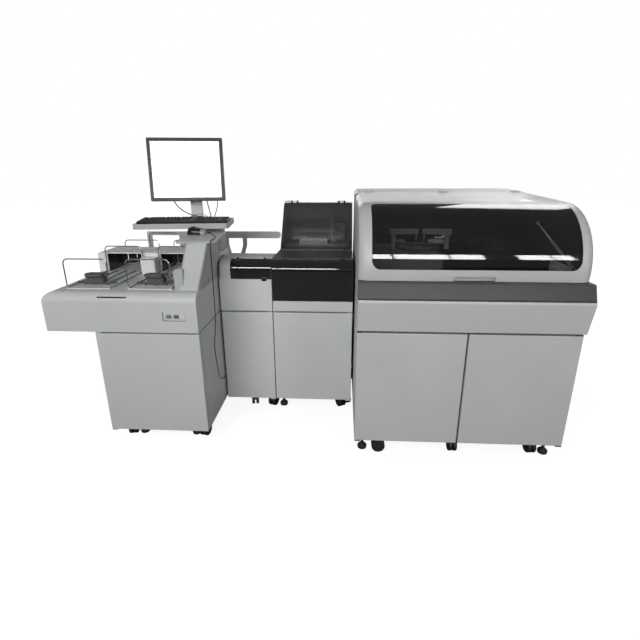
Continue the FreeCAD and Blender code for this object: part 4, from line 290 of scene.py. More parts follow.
# Each entry is one real surface: its colour, gloss, the size of its grain in millimetres and how deep it is.

finishes = {
    # Steel sheet with a fine textured powder coat: dull sheen, a faint orange peel and slow shade changes.
    "powderCoatedSheet": dict(slots=["panel_paint"], colour="BEC0C0", rough=0.46, grain=2.2, depth=0.05,
                              tone=0.035, toneSize=340.0),
    # Sprayed structural foam moulding of the hood: smoother and lighter than the sheet.
    "sprayedHoodShell": dict(slots=["hood_paint"], colour="BCBEBE", rough=0.38, grain=1.4, depth=0.025,
                             tone=0.025, toneSize=420.0),
    # Painted aluminium band, a dark neutral grey with an eggshell gloss.
    "paintedBand": dict(slots=["stripe_paint"], colour="343538", rough=0.4, grain=1.0, depth=0.02,
                        tone=0.04, toneSize=500.0),
    # Smoked acrylic sheet, cast and polished: near black, mirror smooth, a little light comes through.
    "smokedAcrylic": dict(slots=["tinted_pane"], colour="131415", rough=0.06, grain=160.0, depth=0.04,
                          tone=0.05, toneSize=200.0, alpha=0.97, level=0.8),
    # Smoked polycarbonate of the hood window: thinner tint, so the deck shows behind it.
    "smokedWindow": dict(slots=["window_glass"], colour="0C0D0E", rough=0.04, grain=260.0, depth=0.03,
                         tone=0.05, toneSize=300.0, alpha=0.45, level=1.0),
    # Smoked acrylic of the electrolyte module's upper cover, so the probe shows behind it.
    "smokedCover": dict(slots=[], colour="26272A", rough=0.07, grain=180.0, depth=0.04,
                        tone=0.05, toneSize=240.0, alpha=0.62, level=1.0),
    # Gloss ABS of the transport head, a shade lighter than the sheet around it: the paler colour is a painted
    # highlight for the glint of a window light.
    "headPaintedHighlight": dict(slots=[], colour="CBCDCD", rough=0.34, grain=0.9, depth=0.015,
                     tone=0.03, toneSize=180.0),
    # The same powder coat in the lighter shade of the two middle modules.
    "palerSheet": dict(slots=[], colour="CED0D0", rough=0.46, grain=2.2, depth=0.05,
                       tone=0.035, toneSize=340.0),
    # Deck of the electrolyte module under its covers: charcoal ABS.
    "charcoalDeck": dict(slots=[], colour="3A3B3D", rough=0.3, grain=0.8, depth=0.012,
                         tone=0.06, toneSize=60.0),
    # Neoprene strips hung in the gates of the feeder.
    "neopreneStrip": dict(slots=[], colour="1A1A1B", rough=0.6, grain=0.9, depth=0.05,
                          tone=0.15, toneSize=20.0),
    # Gloss ABS mouldings, off-white.
    "glossCover": dict(slots=["white_cover"], colour="DFE0E1", rough=0.28, grain=0.9, depth=0.01,
                       tone=0.02, toneSize=180.0),
    # Frame tube with a dull grey primer.
    "primedFrame": dict(slots=["frame_steel"], colour="55585A", rough=0.6, grain=1.2, depth=0.04,
                        tone=0.08, toneSize=90.0),
    # Deck plate of brushed stainless: fine lines along its width.
    "brushedDeck": dict(slots=["deck_steel"], colour="A4A6A8", rough=0.42, metal=0.55, grain=0.8, depth=0.02,
                        tone=0.06, toneSize=60.0, stretch=(0.03, 1.0, 1.0)),
    # Lacquered steel tube of the gas strut.
    "sprayedTube": dict(slots=["strut_body"], colour="A2A4A6", rough=0.35, grain=0.8, depth=0.01,
                        tone=0.03, toneSize=30.0),
    # Hard chromed piston rod.
    "chromedRod": dict(slots=["strut_rod"], colour="D9DADB", rough=0.3, metal=0.3, grain=0.5, depth=0.004,
                       tone=0.02, toneSize=20.0),
    # Glass filled nylon of the reaction wheel: dry and slightly mottled.
    "filledNylon": dict(slots=["wheel_plastic"], colour="77797B", rough=0.55, grain=0.7, depth=0.02,
                        tone=0.08, toneSize=18.0),
    # Moulded lid of the reagent carousel, charcoal ABS.
    "mouldedLid": dict(slots=["lid_plastic"], colour="2B2C2E", rough=0.3, grain=0.8, depth=0.012,
                       tone=0.05, toneSize=60.0),
    # Painted covers of the swinging arms and the electrolyte unit.
    "mouldedArm": dict(slots=["arm_plastic"], colour="D3D3D1", rough=0.3, grain=0.6, depth=0.01,
                       tone=0.03, toneSize=40.0),
    # Blow moulded HDPE: waxy and cloudy.
    "blownTank": dict(slots=["tank_plastic"], colour="D8DAD4", rough=0.5, grain=5.0, depth=0.12,
                      tone=0.05, toneSize=50.0, wax=0.15),
    # Cast aluminium pump bodies with a bead blasted skin.
    "blastedCasting": dict(slots=["pump_metal"], colour="A7A8A9", rough=0.5, metal=0.9, grain=0.6, depth=0.04,
                           tone=0.06, toneSize=25.0),
    # Moulded ABS slider, dark grey and finely spark eroded.
    "erodedSlider": dict(slots=["pusher_plastic"], colour="4B4C4E", rough=0.5, grain=0.6, depth=0.02,
                         tone=0.06, toneSize=20.0),
    # Structural foam of the pedestal, with a light spark texture.
    "mouldedTower": dict(slots=["tower_plastic"], colour="A6A8A9", rough=0.42, grain=1.2, depth=0.02,
                         tone=0.03, toneSize=150.0),
    # Button caps of ABS: grey green, dark and pale.
    "buttonStart": dict(slots=["button_grey"], colour="6C7270", rough=0.35, grain=0.5, depth=0.006,
                        tone=0.04, toneSize=6.0),
    "buttonDark": dict(slots=["button_dark"], colour="5C5D5F", rough=0.35, grain=0.5, depth=0.006,
                       tone=0.04, toneSize=6.0),
    "buttonPale": dict(slots=[], colour="C9CACB", rough=0.35, grain=0.5, depth=0.006,
                       tone=0.04, toneSize=6.0),
    # Vacuum formed console table, light grey with a leather-like stipple.
    "stippledTable": dict(slots=["table_plastic"], colour="A9ABAC", rough=0.44, grain=1.0, depth=0.035,
                          tone=0.025, toneSize=160.0),
    # Injection moulded monitor housing, satin black.
    "satinHousing": dict(slots=["console_black"], colour="191A1C", rough=0.34, grain=0.6, depth=0.012,
                         tone=0.05, toneSize=80.0, level=0.3),
    # Keyboard case and caps, matt black ABS.
    "keyPlastic": dict(slots=["keyboard_plastic"], colour="0E0F10", rough=0.4, grain=0.5, depth=0.02,
                       tone=0.1, toneSize=30.0, level=0.3),
    # Light grey ABS of the monitor's foot and neck.
    "standPlastic": dict(slots=[], colour="C9CBCC", rough=0.34, grain=0.6, depth=0.01,
                         tone=0.03, toneSize=80.0),
    # Anodised guard rail, drawn along its length.
    "extrudedRail": dict(slots=["rail_plastic"], colour="B2B4B5", rough=0.4, grain=0.7, depth=0.02,
                         tone=0.04, toneSize=120.0, stretch=(0.05, 1.0, 1.0)),
    # Cast polyurethane tyres and nylon forks, then the rubber feet: black with a dusty bloom.
    "casterTyre": dict(slots=["caster_rubber"], colour="1D1D1E", rough=0.55, grain=0.9, depth=0.05,
                       tone=0.25, toneSize=14.0),
    "footRubber": dict(slots=["foot_rubber"], colour="1F1F20", rough=0.6, grain=0.9, depth=0.05,
                       tone=0.2, toneSize=12.0),
    # Extruded PVC jackets, black and light grey.
    "leadJacket": dict(slots=["lead_jacket"], colour="0F0F10", rough=0.45, grain=0.8, depth=0.02,
                       tone=0.1, toneSize=25.0),
    "paleJacket": dict(slots=["light_jacket"], colour="8C8D8E", rough=0.45, grain=0.8, depth=0.02,
                       tone=0.08, toneSize=25.0),
    # Gloss nylon of the mouse wheel.
    "blackNylon": dict(slots=[], colour="1B1B1C", rough=0.3, grain=0.5, depth=0.01, tone=0.05, toneSize=8.0),
}


def makeFinish(name, f):
    material = bpy.data.materials.new(name)
    material.use_nodes = True
    tree = material.node_tree
    shader = tree.nodes["Principled BSDF"]
    place = add(tree, "TexCoord").outputs["Object"]
    if "stretch" in f:
        place = add(tree, "Mapping", {"Scale": f["stretch"]}, {"Vector": place}).outputs["Vector"]
    # slow shade changes, then the fine grain (1.5 % of the colour), then smudges that change the gloss by 14 %
    tone = add(tree, "TexNoise", {"Scale": 1000.0 / f["toneSize"], "Detail": 3.0, "Roughness": 0.5},
               {"Vector": place})
    grain = add(tree, "TexNoise", {"Scale": 1000.0 / f["grain"], "Detail": 2.0}, {"Vector": place})
    smudge = add(tree, "TexNoise", {"Scale": 14.0, "Detail": 5.0, "Roughness": 0.6}, {"Vector": place})
    shade = add(tree, "MapRange", {"From Min": 0.3, "From Max": 0.7, "To Min": 1.0 - f["tone"],
                                   "To Max": 1.0 + f["tone"]}, {"Value": tone.outputs["Fac"]})
    speckle = add(tree, "MapRange", {"From Min": 0.3, "From Max": 0.7, "To Min": 0.985, "To Max": 1.015},
                  {"Value": grain.outputs["Fac"]})
    both = add(tree, "Math", links={0: shade.outputs[0], 1: speckle.outputs[0]}, operation="MULTIPLY")
    # inputs 6 and 7 of a colour mix are its two colours, output 2 the result
    colour = add(tree, "Mix", {0: 1.0, 6: linear(f["colour"])}, {7: both.outputs[0]}, data_type="RGBA",
                 blend_type="MULTIPLY")
    gloss = add(tree, "MapRange", {"From Min": 0.25, "From Max": 0.75, "To Min": max(0.02, f["rough"] * 0.86),
                                   "To Max": min(1.0, f["rough"] * 1.14)}, {"Value": smudge.outputs["Fac"]})
    bump = add(tree, "Bump", {"Strength": 0.5, "Distance": f["depth"] / 1000.0},
               {"Height": grain.outputs["Fac"]})
    tree.links.new(colour.outputs[2], shader.inputs["Base Color"])
    tree.links.new(gloss.outputs[0], shader.inputs["Roughness"])
    tree.links.new(bump.outputs[0], shader.inputs["Normal"])
    shader.inputs["Metallic"].default_value = f.get("metal", 0.0)
    shader.inputs["Alpha"].default_value = f.get("alpha", 1.0)
    shader.inputs["Specular IOR Level"].default_value = f.get("level", 0.5)
    shader.inputs["Subsurface Weight"].default_value = f.get("wax", 0.0)
    return material


made = {name: makeFinish(name, f) for name, f in finishes.items()}
bySlot = {slot: made[name] for name, f in finishes.items() for slot in f["slots"]}


def objectPlace(tree):
    # X, Y and Z of the shaded point in the part's frame, in metres
    return add(tree, "SeparateXYZ", links={0: add(tree, "TexCoord").outputs["Object"]}).outputs


def tint(material, mask, hexText, under=None):
    # paints a colour where the mask is 1, over the finish's own colour or over another plain one
    tree = material.node_tree
    base = tree.nodes["Principled BSDF"].inputs["Base Color"]
    mix = add(tree, "Mix", {7: linear(hexText)}, {0: mask}, data_type="RGBA")
    if under:
        mix.inputs[6].default_value = linear(under)
    else:
        tree.links.new(base.links[0].from_socket, mix.inputs[6])
    tree.links.new(mix.outputs[2], base)


def bandsByHeight(material, lowest, steps):
    # plain bands: the lowest colour, then each (height in mm, hex colour) from there up
    tree = material.node_tree
    height = objectPlace(tree)["Z"]
    for index, (level, hexText) in enumerate(steps):
        over = add(tree, "Math", {1: level / 1000.0}, {0: height}, operation="GREATER_THAN")
        tint(material, over.outputs[0], hexText, None if index else lowest)
    return height


# Moulded tray with a pale floor, dark guide ribs and bright wire hoops above its rim, one node in the CAD.
trayLook = {
    "finish": dict(colour="C2C4C6", rough=0.4, grain=0.9, depth=0.02, tone=0.04, toneSize=60.0),
    "bands": [(856.0, "5A5C5F"), (860.0, "D4D6D7"), (863.0, "C9CBCD")],
    "wireAbove": 863.2,             # mm, all metal from here up
    "gloss": (0.42, 0.2),           # roughness of the plastic and of the wire
}


def makeTray(t):
    tray = makeFinish("mouldedTray", t["finish"])
    height = bandsByHeight(tray, t["finish"]["colour"], t["bands"])
    tree = tray.node_tree
    shader = tree.nodes["Principled BSDF"]
    wire = add(tree, "Math", {1: t["wireAbove"] / 1000.0}, {0: height}, operation="GREATER_THAN")
    tree.links.new(wire.outputs[0], shader.inputs["Metallic"])
    gloss = add(tree, "MapRange", {"To Min": t["gloss"][0], "To Max": t["gloss"][1]},
                {"Value": wire.outputs[0]})
    tree.links.new(gloss.outputs[0], shader.inputs["Roughness"])
    return tray


bySlot["tray_plastic"] = makeTray(trayLook)

# The deck plate is bare steel on the left and turns near black on the right, between 452 and 470 mm across.
deckBlack = {"from": 452.0, "to": 470.0, "colour": "1C1D1E"}
deckTree = made["brushedDeck"].node_tree
deckSide = add(deckTree, "MapRange", {"From Min": (deckBlack["from"] + drawingShift[0]) / 1000.0,
                                      "From Max": (deckBlack["to"] + drawingShift[0]) / 1000.0},
               {"Value": objectPlace(deckTree)["X"]})
tint(made["brushedDeck"], deckSide.outputs[0], deckBlack["colour"])

# The fascia's sheet, with the band's dark paint carried 8 mm over its top edge.
made["powderCoatedFascia"] = makeFinish("powderCoatedFascia", finishes["powderCoatedSheet"])
bandsByHeight(made["powderCoatedFascia"], "C2C4C4", [(857.0, finishes["paintedBand"]["colour"])])


def chain(tree, first, *steps):
    # arithmetic written as a row of (operation, number or socket)
    for operation, value in steps:
        step = add(tree, "Math", links={0: first}, operation=operation)
        if isinstance(value, float):
            step.inputs[1].default_value = value
        elif value is not None:
            tree.links.new(value, step.inputs[1])
        first = step.outputs[0]
    return first


def within(tree, value, low, high):
    # 1 between two drawing millimetres: |value - middle| < half
    middle, half = (low + high) / 2000.0, (high - low) / 2000.0
    return chain(tree, value, ("SUBTRACT", middle), ("ABSOLUTE", None), ("LESS_THAN", half))


# axis of the hood's front round (mm), slope of its roof, half width, corner round, and depth of the
# skin that keeps the outer colour; inside the skin the hood gets a painted shade
hoodSkin = {"y": 301.0, "z": 974.0, "slope": -0.0454, "radius": 287.0, "half": 515.5, "round": 42.0,
            "skin": 2.5, "gripTop": 962.0}
# limits of the other painted shade inside mouldings, in drawing millimetres
housingFace = {"y": 846.0, "z": 1278.0}
buttonPanel = {"y": 33.4, "x": (-942.0, -818.0), "z": (712.0, 766.0)}
tunnelFace = {"y": 522.5, "z": 954.5, "lanes": [(-1443.5, -1239.5), (-1125.5, -959.5)]}


def hoodInside(tree, x, y, z, h=hoodSkin):
    # r is the distance from the axis of the front round, less the slope of the roof behind it. The hood is
    # rounded between r and x, so inside the skin means
    # sqrt(max(r - radius + round, 0)^2 + max(|x - half| - half + round, 0)^2) < round - skin.
    # The strip under the top of the grip keeps the outer colour. The faces inside the skin get a painted
    # shade: they are painted dark where shade falls inside the hood.
    back = chain(tree, y, ("SUBTRACT", h["y"] / 1000.0))
    front = chain(tree, back, ("MINIMUM", 0.0), ("POWER", 2.0))
    rise = chain(tree, z, ("SUBTRACT", h["z"] / 1000.0), ("POWER", 2.0), ("ADD", front), ("SQRT", None))
    over = chain(tree, back, ("MAXIMUM", 0.0), ("MULTIPLY", h["slope"]), ("ADD", rise),
                 ("SUBTRACT", (h["radius"] - h["round"]) / 1000.0), ("MAXIMUM", 0.0), ("POWER", 2.0))
    side = chain(tree, x, ("SUBTRACT", h["half"] / 1000.0), ("ABSOLUTE", None),
                 ("SUBTRACT", (h["half"] - h["round"]) / 1000.0), ("MAXIMUM", 0.0), ("POWER", 2.0),
                 ("ADD", over), ("SQRT", None), ("LESS_THAN", (h["round"] - h["skin"]) / 1000.0))
    return chain(tree, z, ("GREATER_THAN", h["gripTop"] / 1000.0), ("MULTIPLY", side))


def housingInside(tree, x, y, z, h=housingFace):
    # the wall that looks forwards, under the roof: it gets the painted shade
    low = chain(tree, z, ("LESS_THAN", h["z"] / 1000.0))
    return chain(tree, y, ("LESS_THAN", h["y"] / 1000.0), ("MULTIPLY", low))


def panelRecess(tree, x, y, z, p=buttonPanel):
    # pockets and grooves of the button panel: what lies behind the front face, painted dark as painted shade
    deep = chain(tree, y, ("GREATER_THAN", p["y"] / 1000.0))
    return chain(tree, deep, ("MULTIPLY", within(tree, x, *p["x"])), ("MULTIPLY", within(tree, z, *p["z"])))


def tunnelInside(tree, x, y, z, t=tunnelFace):
    # faces of the two lanes: under the roof, between the walls of either opening; they get the painted shade
    low = chain(tree, z, ("LESS_THAN", t["z"] / 1000.0))
    lanes = [within(tree, x, *lane) for lane in t["lanes"]]
    either = chain(tree, lanes[0], ("ADD", lanes[1]))
    return chain(tree, y, ("GREATER_THAN", t["y"] / 1000.0), ("MULTIPLY", low), ("MULTIPLY", either))


def paintShadeInside(name, base, hexText, inner):
    # painted shade inside a moulding, a dark colour on the inner faces where shade falls: inner(tree, x, y, z)
    # gives 1 on the inner faces
    made[name] = makeFinish(name, finishes[base])
    tree = made[name].node_tree
    place = [chain(tree, socket, ("ADD", -shift / 1000.0))
             for socket, shift in zip(objectPlace(tree), drawingShift)]
    tint(made[name], inner(tree, *place), hexText)


# dark grey of the painted shade inside the tunnel, the hood shell and the rear housing
insideShadeColour = "2A2B2D"
# painted shade in the pockets and grooves of the button panel
paintShadeInside("panelHousingPaintedShade", "powderCoatedSheet", "2E2F31", panelRecess)
paintShadeInside("tunnelPaintedShade", "glossCover", insideShadeColour, tunnelInside)
paintShadeInside("hoodShellPaintedShade", "sprayedHoodShell", insideShadeColour, hoodInside)
paintShadeInside("rearHousingPaintedShade", "powderCoatedSheet", insideShadeColour, housingInside)

# Lit panel of the monitor: a plain white screen.
screenLook = {
    "finish": dict(colour="F4F6F7", rough=0.25, grain=0.6, depth=0.004, tone=0.01, toneSize=90.0),
    "glow": "F6F8FA", "strength": 0.55,
}
bySlot["screen_panel"] = makeFinish("litPanel", screenLook["finish"])
screenShader = bySlot["screen_panel"].node_tree.nodes["Principled BSDF"]
screenShader.inputs["Emission Color"].default_value = linear(screenLook["glow"])
screenShader.inputs["Emission Strength"].default_value = screenLook["strength"]

# nodes whose look differs from the rest of their slot
slotOf = {s["node"]: s["material_slot"] for s in frame["record"]["subparts"]}
own = {
    "main_fascia": "powderCoatedFascia", "main_hood": "hoodShellPaintedShade",
    "main_rear_housing": "rearHousingPaintedShade",
    "ise_cabinet": "palerSheet", "ise_door": "palerSheet", "ise_deck": "charcoalDeck",
    "ise_upper_cover": "smokedCover", "transport_cabinet": "palerSheet", "transport_door": "palerSheet",
    "transport_head": "headPaintedHighlight", "feeder_top_box": "panelHousingPaintedShade", "feeder_tunnel_cover": "tunnelPaintedShade",
    "button_reset": "buttonPale", "monitor_stand": "standPlastic",
}
for name, node in nodes.items():
    finish = made[own[name]] if name in own else bySlot[slotOf[name]]
    node.data.materials.clear()
    node.data.materials.append(finish)
print("finishes on", len(nodes), "nodes")


def dress(piece, material):
    piece.data.materials.clear()
    piece.data.materials.append(material)


for piece in cordPieces:
    pale = piece.name.startswith("keyboard")
    dress(piece, made["paleJacket" if pale else "leadJacket"])

# Keyboard: a thin case with single caps.

keyboard = {
    "corner": (-1232.0, 440.0), "turn": 8.0, "left": -1212.0, "width": 498.0, "front": 445.0, "depth": 150.0,
    "table": 1132.0, "lift": 0.4, "frontHeight": 12.0, "rearHeight": 22.0,
    "pitch": 19.0, "rowPitch": 19.2, "spread": 1.01, "marginX": 14.0, "marginY": 18.0, "rowGap": 5.0,
    "capSide": 16.8, "capHeight": 7.0, "capSink": 0.8, "capTop": 0.78, "capEdge": 0.9,
    # section of the case at five shares of its height
    "levels": [0.0, 0.12, 0.7, 0.92, 1.0], "inward": [0.996, 1.0, 1.0, 0.996, 0.985],
}
# caps: rows of (start column, width in key units) from the front; the space bar is the long one
keyRows = [
    [(0, 1.25), (1.25, 1.25), (2.5, 1.25), (3.75, 6.25)] + [(10 + 1.25 * i, 1.25) for i in range(4)],
    [(0, 2.25)] + [(2.25 + i, 1) for i in range(10)] + [(12.25, 2.75)],
    [(0, 1.75)] + [(1.75 + i, 1) for i in range(11)] + [(12.75, 2.25)],
    [(0, 1.5)] + [(1.5 + i, 1) for i in range(12)] + [(13.5, 1.5)],
    [(i, 1) for i in range(13)] + [(13, 2)],
    [(0, 1)] + [(start + i, 1) for start in (2, 6.5, 11) for i in range(4)],
]
# the three columns beside them, and the number pad
sideKeys = {row: [(15.5 + i, 1) for i in range(3)] for row in (0, 3, 4, 5)} | {1: [(16.5, 1)]}
padKeys = [(19 + i, 1) for i in range(4)]


def makeKeyboard(k):
    rise = (k["rearHeight"] - k["frontHeight"]) / k["depth"]
    # case: rounded rectangle carried up its height, the top following the slope
    half = np.array([k["width"] / 2.0, k["depth"] / 2.0])
    centre = np.array([k["left"] + half[0], k["front"] + half[1]])
    outline = roundedOutline(72, half, (0.12, 0.12))
    foot = k["table"] + k["lift"]
    top = k["table"] + k["frontHeight"] + (centre[1] + outline[:, 1] - k["front"]) * rise
    levels, inward = np.array(k["levels"]), np.array(k["inward"])
    rings = np.zeros((len(levels), len(outline), 3))
    rings[..., :2] = centre + outline[None] * inward[:, None, None]
    rings[..., 2] = foot + (top - foot)[None] * levels[:, None]
    case = sheetOf("keyboard_case", turn(rings, k["turn"], k["corner"]), loopV=True, capU=True)
    places, sizes = [], []
    for index, row in enumerate(keyRows):
        last = index == len(keyRows) - 1
        y = k["front"] + k["marginY"] + index * k["rowPitch"] + (k["rowGap"] if last else 0.0)
        z = k["table"] + k["frontHeight"] + (y - k["front"]) * rise - k["capSink"]
        for start, wide in row + sideKeys.get(index, []) + (padKeys[:1] if last else padKeys):
            x = k["left"] + k["marginX"] + (start + wide / 2.0) * k["pitch"] * k["spread"]
            places.append((x, y, z))
            sizes.append(((wide - 1.0) * k["pitch"] + k["capSide"], k["capSide"], k["capHeight"]))
    # cap: unit box with its top drawn in, sheared along the slope by z += (y - row) * rise
    template, faces = boxTemplate(k["capTop"])
    points, allFaces = copies(template, faces, places, sizes)
    points[:, 2] += (points[:, 1] - np.repeat([p[1] for p in places], len(template))) * rise
    caps = meshOf("keyboard_caps", turn(points, k["turn"], k["corner"]), allFaces, False)
    soften(caps, k["capEdge"])
    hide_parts("keyboard")
    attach(case, "base")
    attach(caps, "base")
    dress(case, made["keyPlastic"])
    dress(caps, made["keyPlastic"])


makeKeyboard(keyboard)

# Mouse: an arched shell with a wheel, its cable end to the right.

mouse = {
    "centre": (-860.0, 412.0), "turn": 2.0, "half": (52.0, 30.0), "height": 38.0,
    "shelf": 1083.0, "lift": 0.3,
    "finish": dict(colour="121314", rough=0.24, grain=0.5, depth=0.008, tone=0.05, toneSize=30.0),
    "black": "121314", "grey": "8E9092",
    "seam": 26.0,               # mm from the centre to where the grey end starts
    "wheelAt": (26.0, 27.0),    # mm from the centre and above the shelf
    "wheel": [(2.0, -3.5), (7.2, -3.0), (7.8, -1.5), (7.8, 1.5), (7.2, 3.0), (2.0, 3.5)],
}


def makeMouse(m):
    # superellipsoid: it shrinks with height as (1 - h^2.6)^(1/2.6), is waisted by 7 % of a cosine along its
    # length, and leans 5 h^2 mm and 12 % of its height away from the cable end
    u = np.linspace(0.0, 1.0, 22)
    a = np.linspace(0.0, 2.0 * math.pi, 64, endpoint=False)
    share = (1.0 - u ** 2.6) ** (1.0 / 2.6)
    share[0], share[-1] = 0.97, 0.02
    x, y = roundedOutline(64, m["half"], (0.8, 0.72)).T
    waist = 1.0 - 0.07 * np.cos(math.pi * x / m["half"][0] * 0.9)
    points = np.zeros((len(u), len(a), 3))
    points[..., 0] = x[None] * share[:, None] - 5.0 * u[:, None] ** 2
    points[..., 1] = y[None] * waist[None] * share[:, None]
    points[..., 2] = m["height"] * u[:, None] * (1.0 - 0.12 * np.cos(a)[None] * u[:, None])
    points[..., 2] += m["shelf"] + m["lift"]
    points[..., :2] += np.array(m["centre"])
    shell = sheetOf("mouse_shell", turn(points, m["turn"], m["centre"]), loopV=True, capU=True)
    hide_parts("mouse")
    body = makeFinish("satinMouse", m["finish"])
    seam = (m["centre"][0] + m["seam"] + drawingShift[0]) / 1000.0
    edge = chain(body.node_tree, objectPlace(body.node_tree)["X"], ("GREATER_THAN", seam))
    tint(body, edge, m["grey"], m["black"])
    wheelAt = (m["centre"][0] + m["wheelAt"][0], m["centre"][1], m["shelf"] + m["wheelAt"][1])
    wheel = lathe("mouse_wheel", wheelAt, m["wheel"], 28)
    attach(shell, "base")
    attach(wheel, "base")
    dress(shell, body)
    dress(wheel, made["blackNylon"])


makeMouse(mouse)
print("keyboard and mouse")

# Strip curtains that close the two gates of the feeder, hung from the roof of the tunnel.

curtain = {
    "y": 700.0, "top": 953.6, "low": 868.0, "thick": 2.4, "strip": 29.0, "apart": 0.6, "bow": 3.0,
    "lanes": {"left": (-1442.0, -1241.0), "right": (-1124.0, -961.0)},
}


def makeCurtain(side, ends, c):
    # each strip is a closed ring carried down, bowed forwards or back by bow * sin(pi u / 2)
    count = round((ends[1] - ends[0]) / c["strip"])
    width = (ends[1] - ends[0]) / count - c["apart"]
    u = np.linspace(0.0, 1.0, 12)[:, None]
    flat = roundedOutline(16, (width / 2.0, c["thick"] / 2.0), (0.3, 0.5))
    index = np.arange(len(u) * len(flat)).reshape(len(u), len(flat))
    ring = np.hstack([index, index[:, :1]])
    quads = np.stack([ring[:-1, :-1], ring[1:, :-1], ring[1:, 1:], ring[:-1, 1:]], -1).reshape(-1, 4)
    points, faces = [], []
    for i in range(count):
        bow = (c["bow"] if i % 2 else -c["bow"]) * np.sin(0.5 * math.pi * u)
        x = ends[0] + (i + 0.5) * (width + c["apart"]) + flat[:, 0] + 0.0 * u
        y = c["y"] + bow + flat[:, 1]
        z = c["top"] + (c["low"] - c["top"]) * u + 0.0 * flat[:, 0]
        points.append(np.stack([x, y, z], -1).reshape(-1, 3))
        step = i * index.size
        faces += (quads + step).tolist() + [(index[0] + step).tolist(), (index[-1, ::-1] + step).tolist()]
    strips = meshOf("gate_curtain_" + side, np.vstack(points), faces)
    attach(strips, "base")
    dress(strips, made["neopreneStrip"])


for side, ends in curtain["lanes"].items():
    makeCurtain(side, ends, curtain)
print("curtains hung")

# The room: white paper floor, a pale world that darkens upwards, and lamps.

light = {
    "ambient": 0.62,        # the room at eye level, seen by the object
    "overhead": 0.0,        # the same straight above
    "glossy": 0.2,          # the room, seen in gloss
    "white": 1.0,           # the background, seen by the camera
    "floor": 0.9,           # glow added to the floor so that it reads as white paper
    "glowFrom": 1.8,        # metres from the middle, where that glow starts to rise to the full white
    "glowTo": 3.6,
    "paper": (0.2, 0.24),   # the floor's own shade, from its darkest to its palest grain
    "rings": [0.001, 2000.0, 6000.0, 24000.0],      # mm
    "drop": 0.6,            # mm from the wheels' contact down to the floor
}


def makeWorld(l):
    world = bpy.data.worlds.new("paleRoom")
    bpy.context.scene.world = world
    world.use_nodes = True
    tree = world.node_tree
    tree.nodes.clear()
    path = add(tree, "LightPath")
    # the room darkens upwards; the camera sees plain white, and gloss sees a level of its own
    up = add(tree, "SeparateXYZ", links={0: add(tree, "TexCoord").outputs["Generated"]}).outputs["Z"]
    room = add(tree, "MapRange", {"To Min": l["ambient"], "To Max": l["overhead"]}, {"Value": up})
    # inputs 2 and 3 of a number mix are its two values
    seen = add(tree, "Mix", {3: l["white"]}, {0: path.outputs["Is Camera Ray"], 2: room.outputs[0]},
               data_type="FLOAT")
    gloss = add(tree, "Mix", {3: l["glossy"]}, {0: path.outputs["Is Glossy Ray"], 2: seen.outputs[0]},
                data_type="FLOAT")
    through = chain(tree, path.outputs["Is Transmission Ray"], ("MULTIPLY", l["white"]))
    level = chain(tree, gloss.outputs[0], ("MAXIMUM", through))
    background = add(tree, "Background", {"Color": (1.0, 1.0, 1.0, 1.0)}, {"Strength": level})
    add(tree, "OutputWorld", links={"Surface": background.outputs[0]})


def makeFloor(l):
    # a wide disc: x = r cos a, y = r sin a
    a = np.linspace(0.0, 2.0 * math.pi, 96, endpoint=False)
    r = np.array(l["rings"])[:, None]
    disc = np.stack([r * np.cos(a), r * np.sin(a), -l["drop"] + 0.0 * r * a], -1) - drawingShift
    floor = sheetOf("floorSheet", disc, loopV=True, inside=True)
    material = bpy.data.materials.new("matteFloorPaper")
    material.use_nodes = True
    tree = material.node_tree
    shader = tree.nodes["Principled BSDF"]
    place = add(tree, "TexCoord").outputs["Object"]
    grain = add(tree, "TexNoise", {"Scale": 6.0, "Detail": 4.0}, {"Vector": place})
    shade = add(tree, "MapRange", {"To Min": l["paper"][0], "To Max": l["paper"][1]},
                {"Value": grain.outputs["Fac"]})
    tree.links.new(shade.outputs[0], shader.inputs["Base Color"])
    shader.inputs["Roughness"].default_value = 0.9
    shader.inputs["Specular IOR Level"].default_value = 0.1
    far = add(tree, "VectorMath", {1: (0.0, 0.0, 0.0)}, {0: place}, operation="DISTANCE")
    spread = add(tree, "MapRange", {"From Min": l["glowFrom"], "From Max": l["glowTo"], "To Min": l["floor"],
                                    "To Max": l["white"]}, {"Value": far.outputs["Value"]})
    path = add(tree, "LightPath")
    glow = chain(tree, spread.outputs[0], ("MULTIPLY", path.outputs["Is Camera Ray"]))
    shader.inputs["Emission Color"].default_value = (1.0, 1.0, 1.0, 1.0)
    tree.links.new(glow, shader.inputs["Emission Strength"])
    floor.data.materials.append(material)


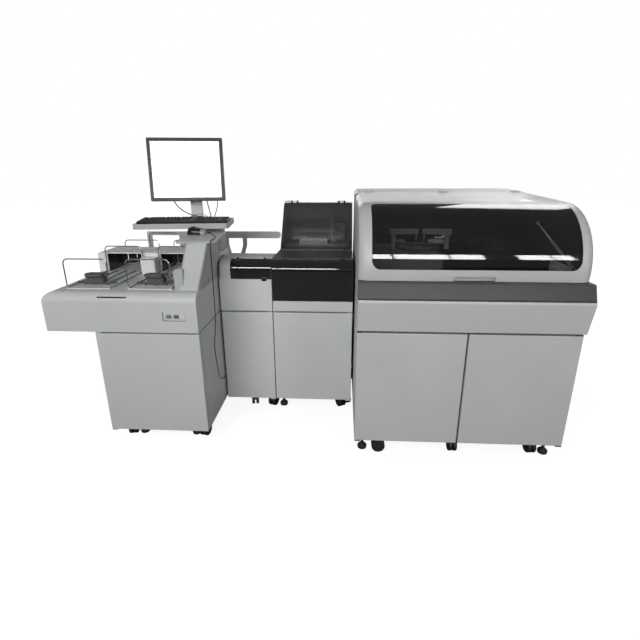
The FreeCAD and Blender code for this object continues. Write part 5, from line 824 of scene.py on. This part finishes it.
# Each lamp is a rectangle that faces a target, in drawing millimetres; a "gloss" lamp only shows in
# reflections, a "fill" lamp never does.
lamps = {
    "ceilingPanel": dict(at=(-1300, -600, 3600), to=(-200, 500, 800),
                         size=(3200, 2200), watts=1.5, kind="fill"),
    "frontFill": dict(at=(-1700, -3300, 2700), to=(-200, 300, 1100),
                      size=(2600, 1800), watts=110.0, kind="fill"),
    "rightFill": dict(at=(2200, -1900, 1500), to=(-700, 300, 900),
                      size=(1500, 1500), watts=14.0, kind="fill"),
    "rearFill": dict(at=(1200, 4800, 1500), to=(0, 900, 800), size=(2600, 1800), watts=60.0, kind="fill"),
    "rearWindow": dict(at=(2250, 3300, 3785), to=(620, 200, 1247),
                       size=(1700, 1600), watts=62.0, kind="gloss"),
    "lowRearWindow": dict(at=(700, 3500, 1600), to=(500, 500, 1250),
                          size=(2800, 500), watts=20.0, kind="gloss"),
    "strutLamp": dict(at=(780, 330, 1190), to=(1000, 420, 1080), size=(60, 240), watts=0.3, kind="fill"),
    "bayLamp": dict(at=(-236, 790, 1010), to=(-236, 960, 1060), size=(300, 60), watts=0.35, kind="fill"),
    "deckLamp": dict(at=(560, 770, 1226), to=(520, 300, 980), size=(760, 50), watts=0.9, kind="fill"),
}
# left and right end of each pane of the window row behind the camera
windowRow = {
    "panes": [(-2700, -1490), (-1440, -200), (500, 860), (912, 1936), (1986, 2602), (3240, 3850),
              (3890, 4250)],
    "low": 2430.0, "high": 3330.0, "y": -6000.0, "radiance": 20.0,
}


def softBox(name, b):
    data = bpy.data.lights.new(name, "AREA")
    data.shape = "RECTANGLE"
    data.size, data.size_y = b["size"][0] / 1000.0, b["size"][1] / 1000.0
    data.energy = b["watts"]
    lamp = bpy.data.objects.new(name, data)
    bpy.context.scene.collection.objects.link(lamp)
    start, end = Vector(at(b["at"])), Vector(at(b["to"]))
    lamp.rotation_euler = (end - start).to_track_quat("-Z", "Y").to_euler()
    lamp.location = start
    lamp.visible_camera = False
    lamp.visible_diffuse, lamp.visible_glossy = b["kind"] == "fill", b["kind"] == "gloss"


def makeWindowRow(w):
    # one lamp per pane; radiance L needs a power of L * pi * area
    tall = w["high"] - w["low"]
    middle = (w["high"] + w["low"]) / 2.0
    for left, right in w["panes"]:
        x = (left + right) / 2.0
        watts = w["radiance"] * math.pi * (right - left) * tall / 1e6
        softBox("windowPane", dict(at=(x, w["y"], middle), to=(x, 0.0, middle), size=(right - left, tall),
                                   watts=watts, kind="gloss"))


makeWorld(light)
makeFloor(light)
makeWindowRow(windowRow)
for name, box in lamps.items():
    softBox(name, box)
print("stage and light")

# bring the scene up to date after the dressing

bpy.context.view_layer.update()
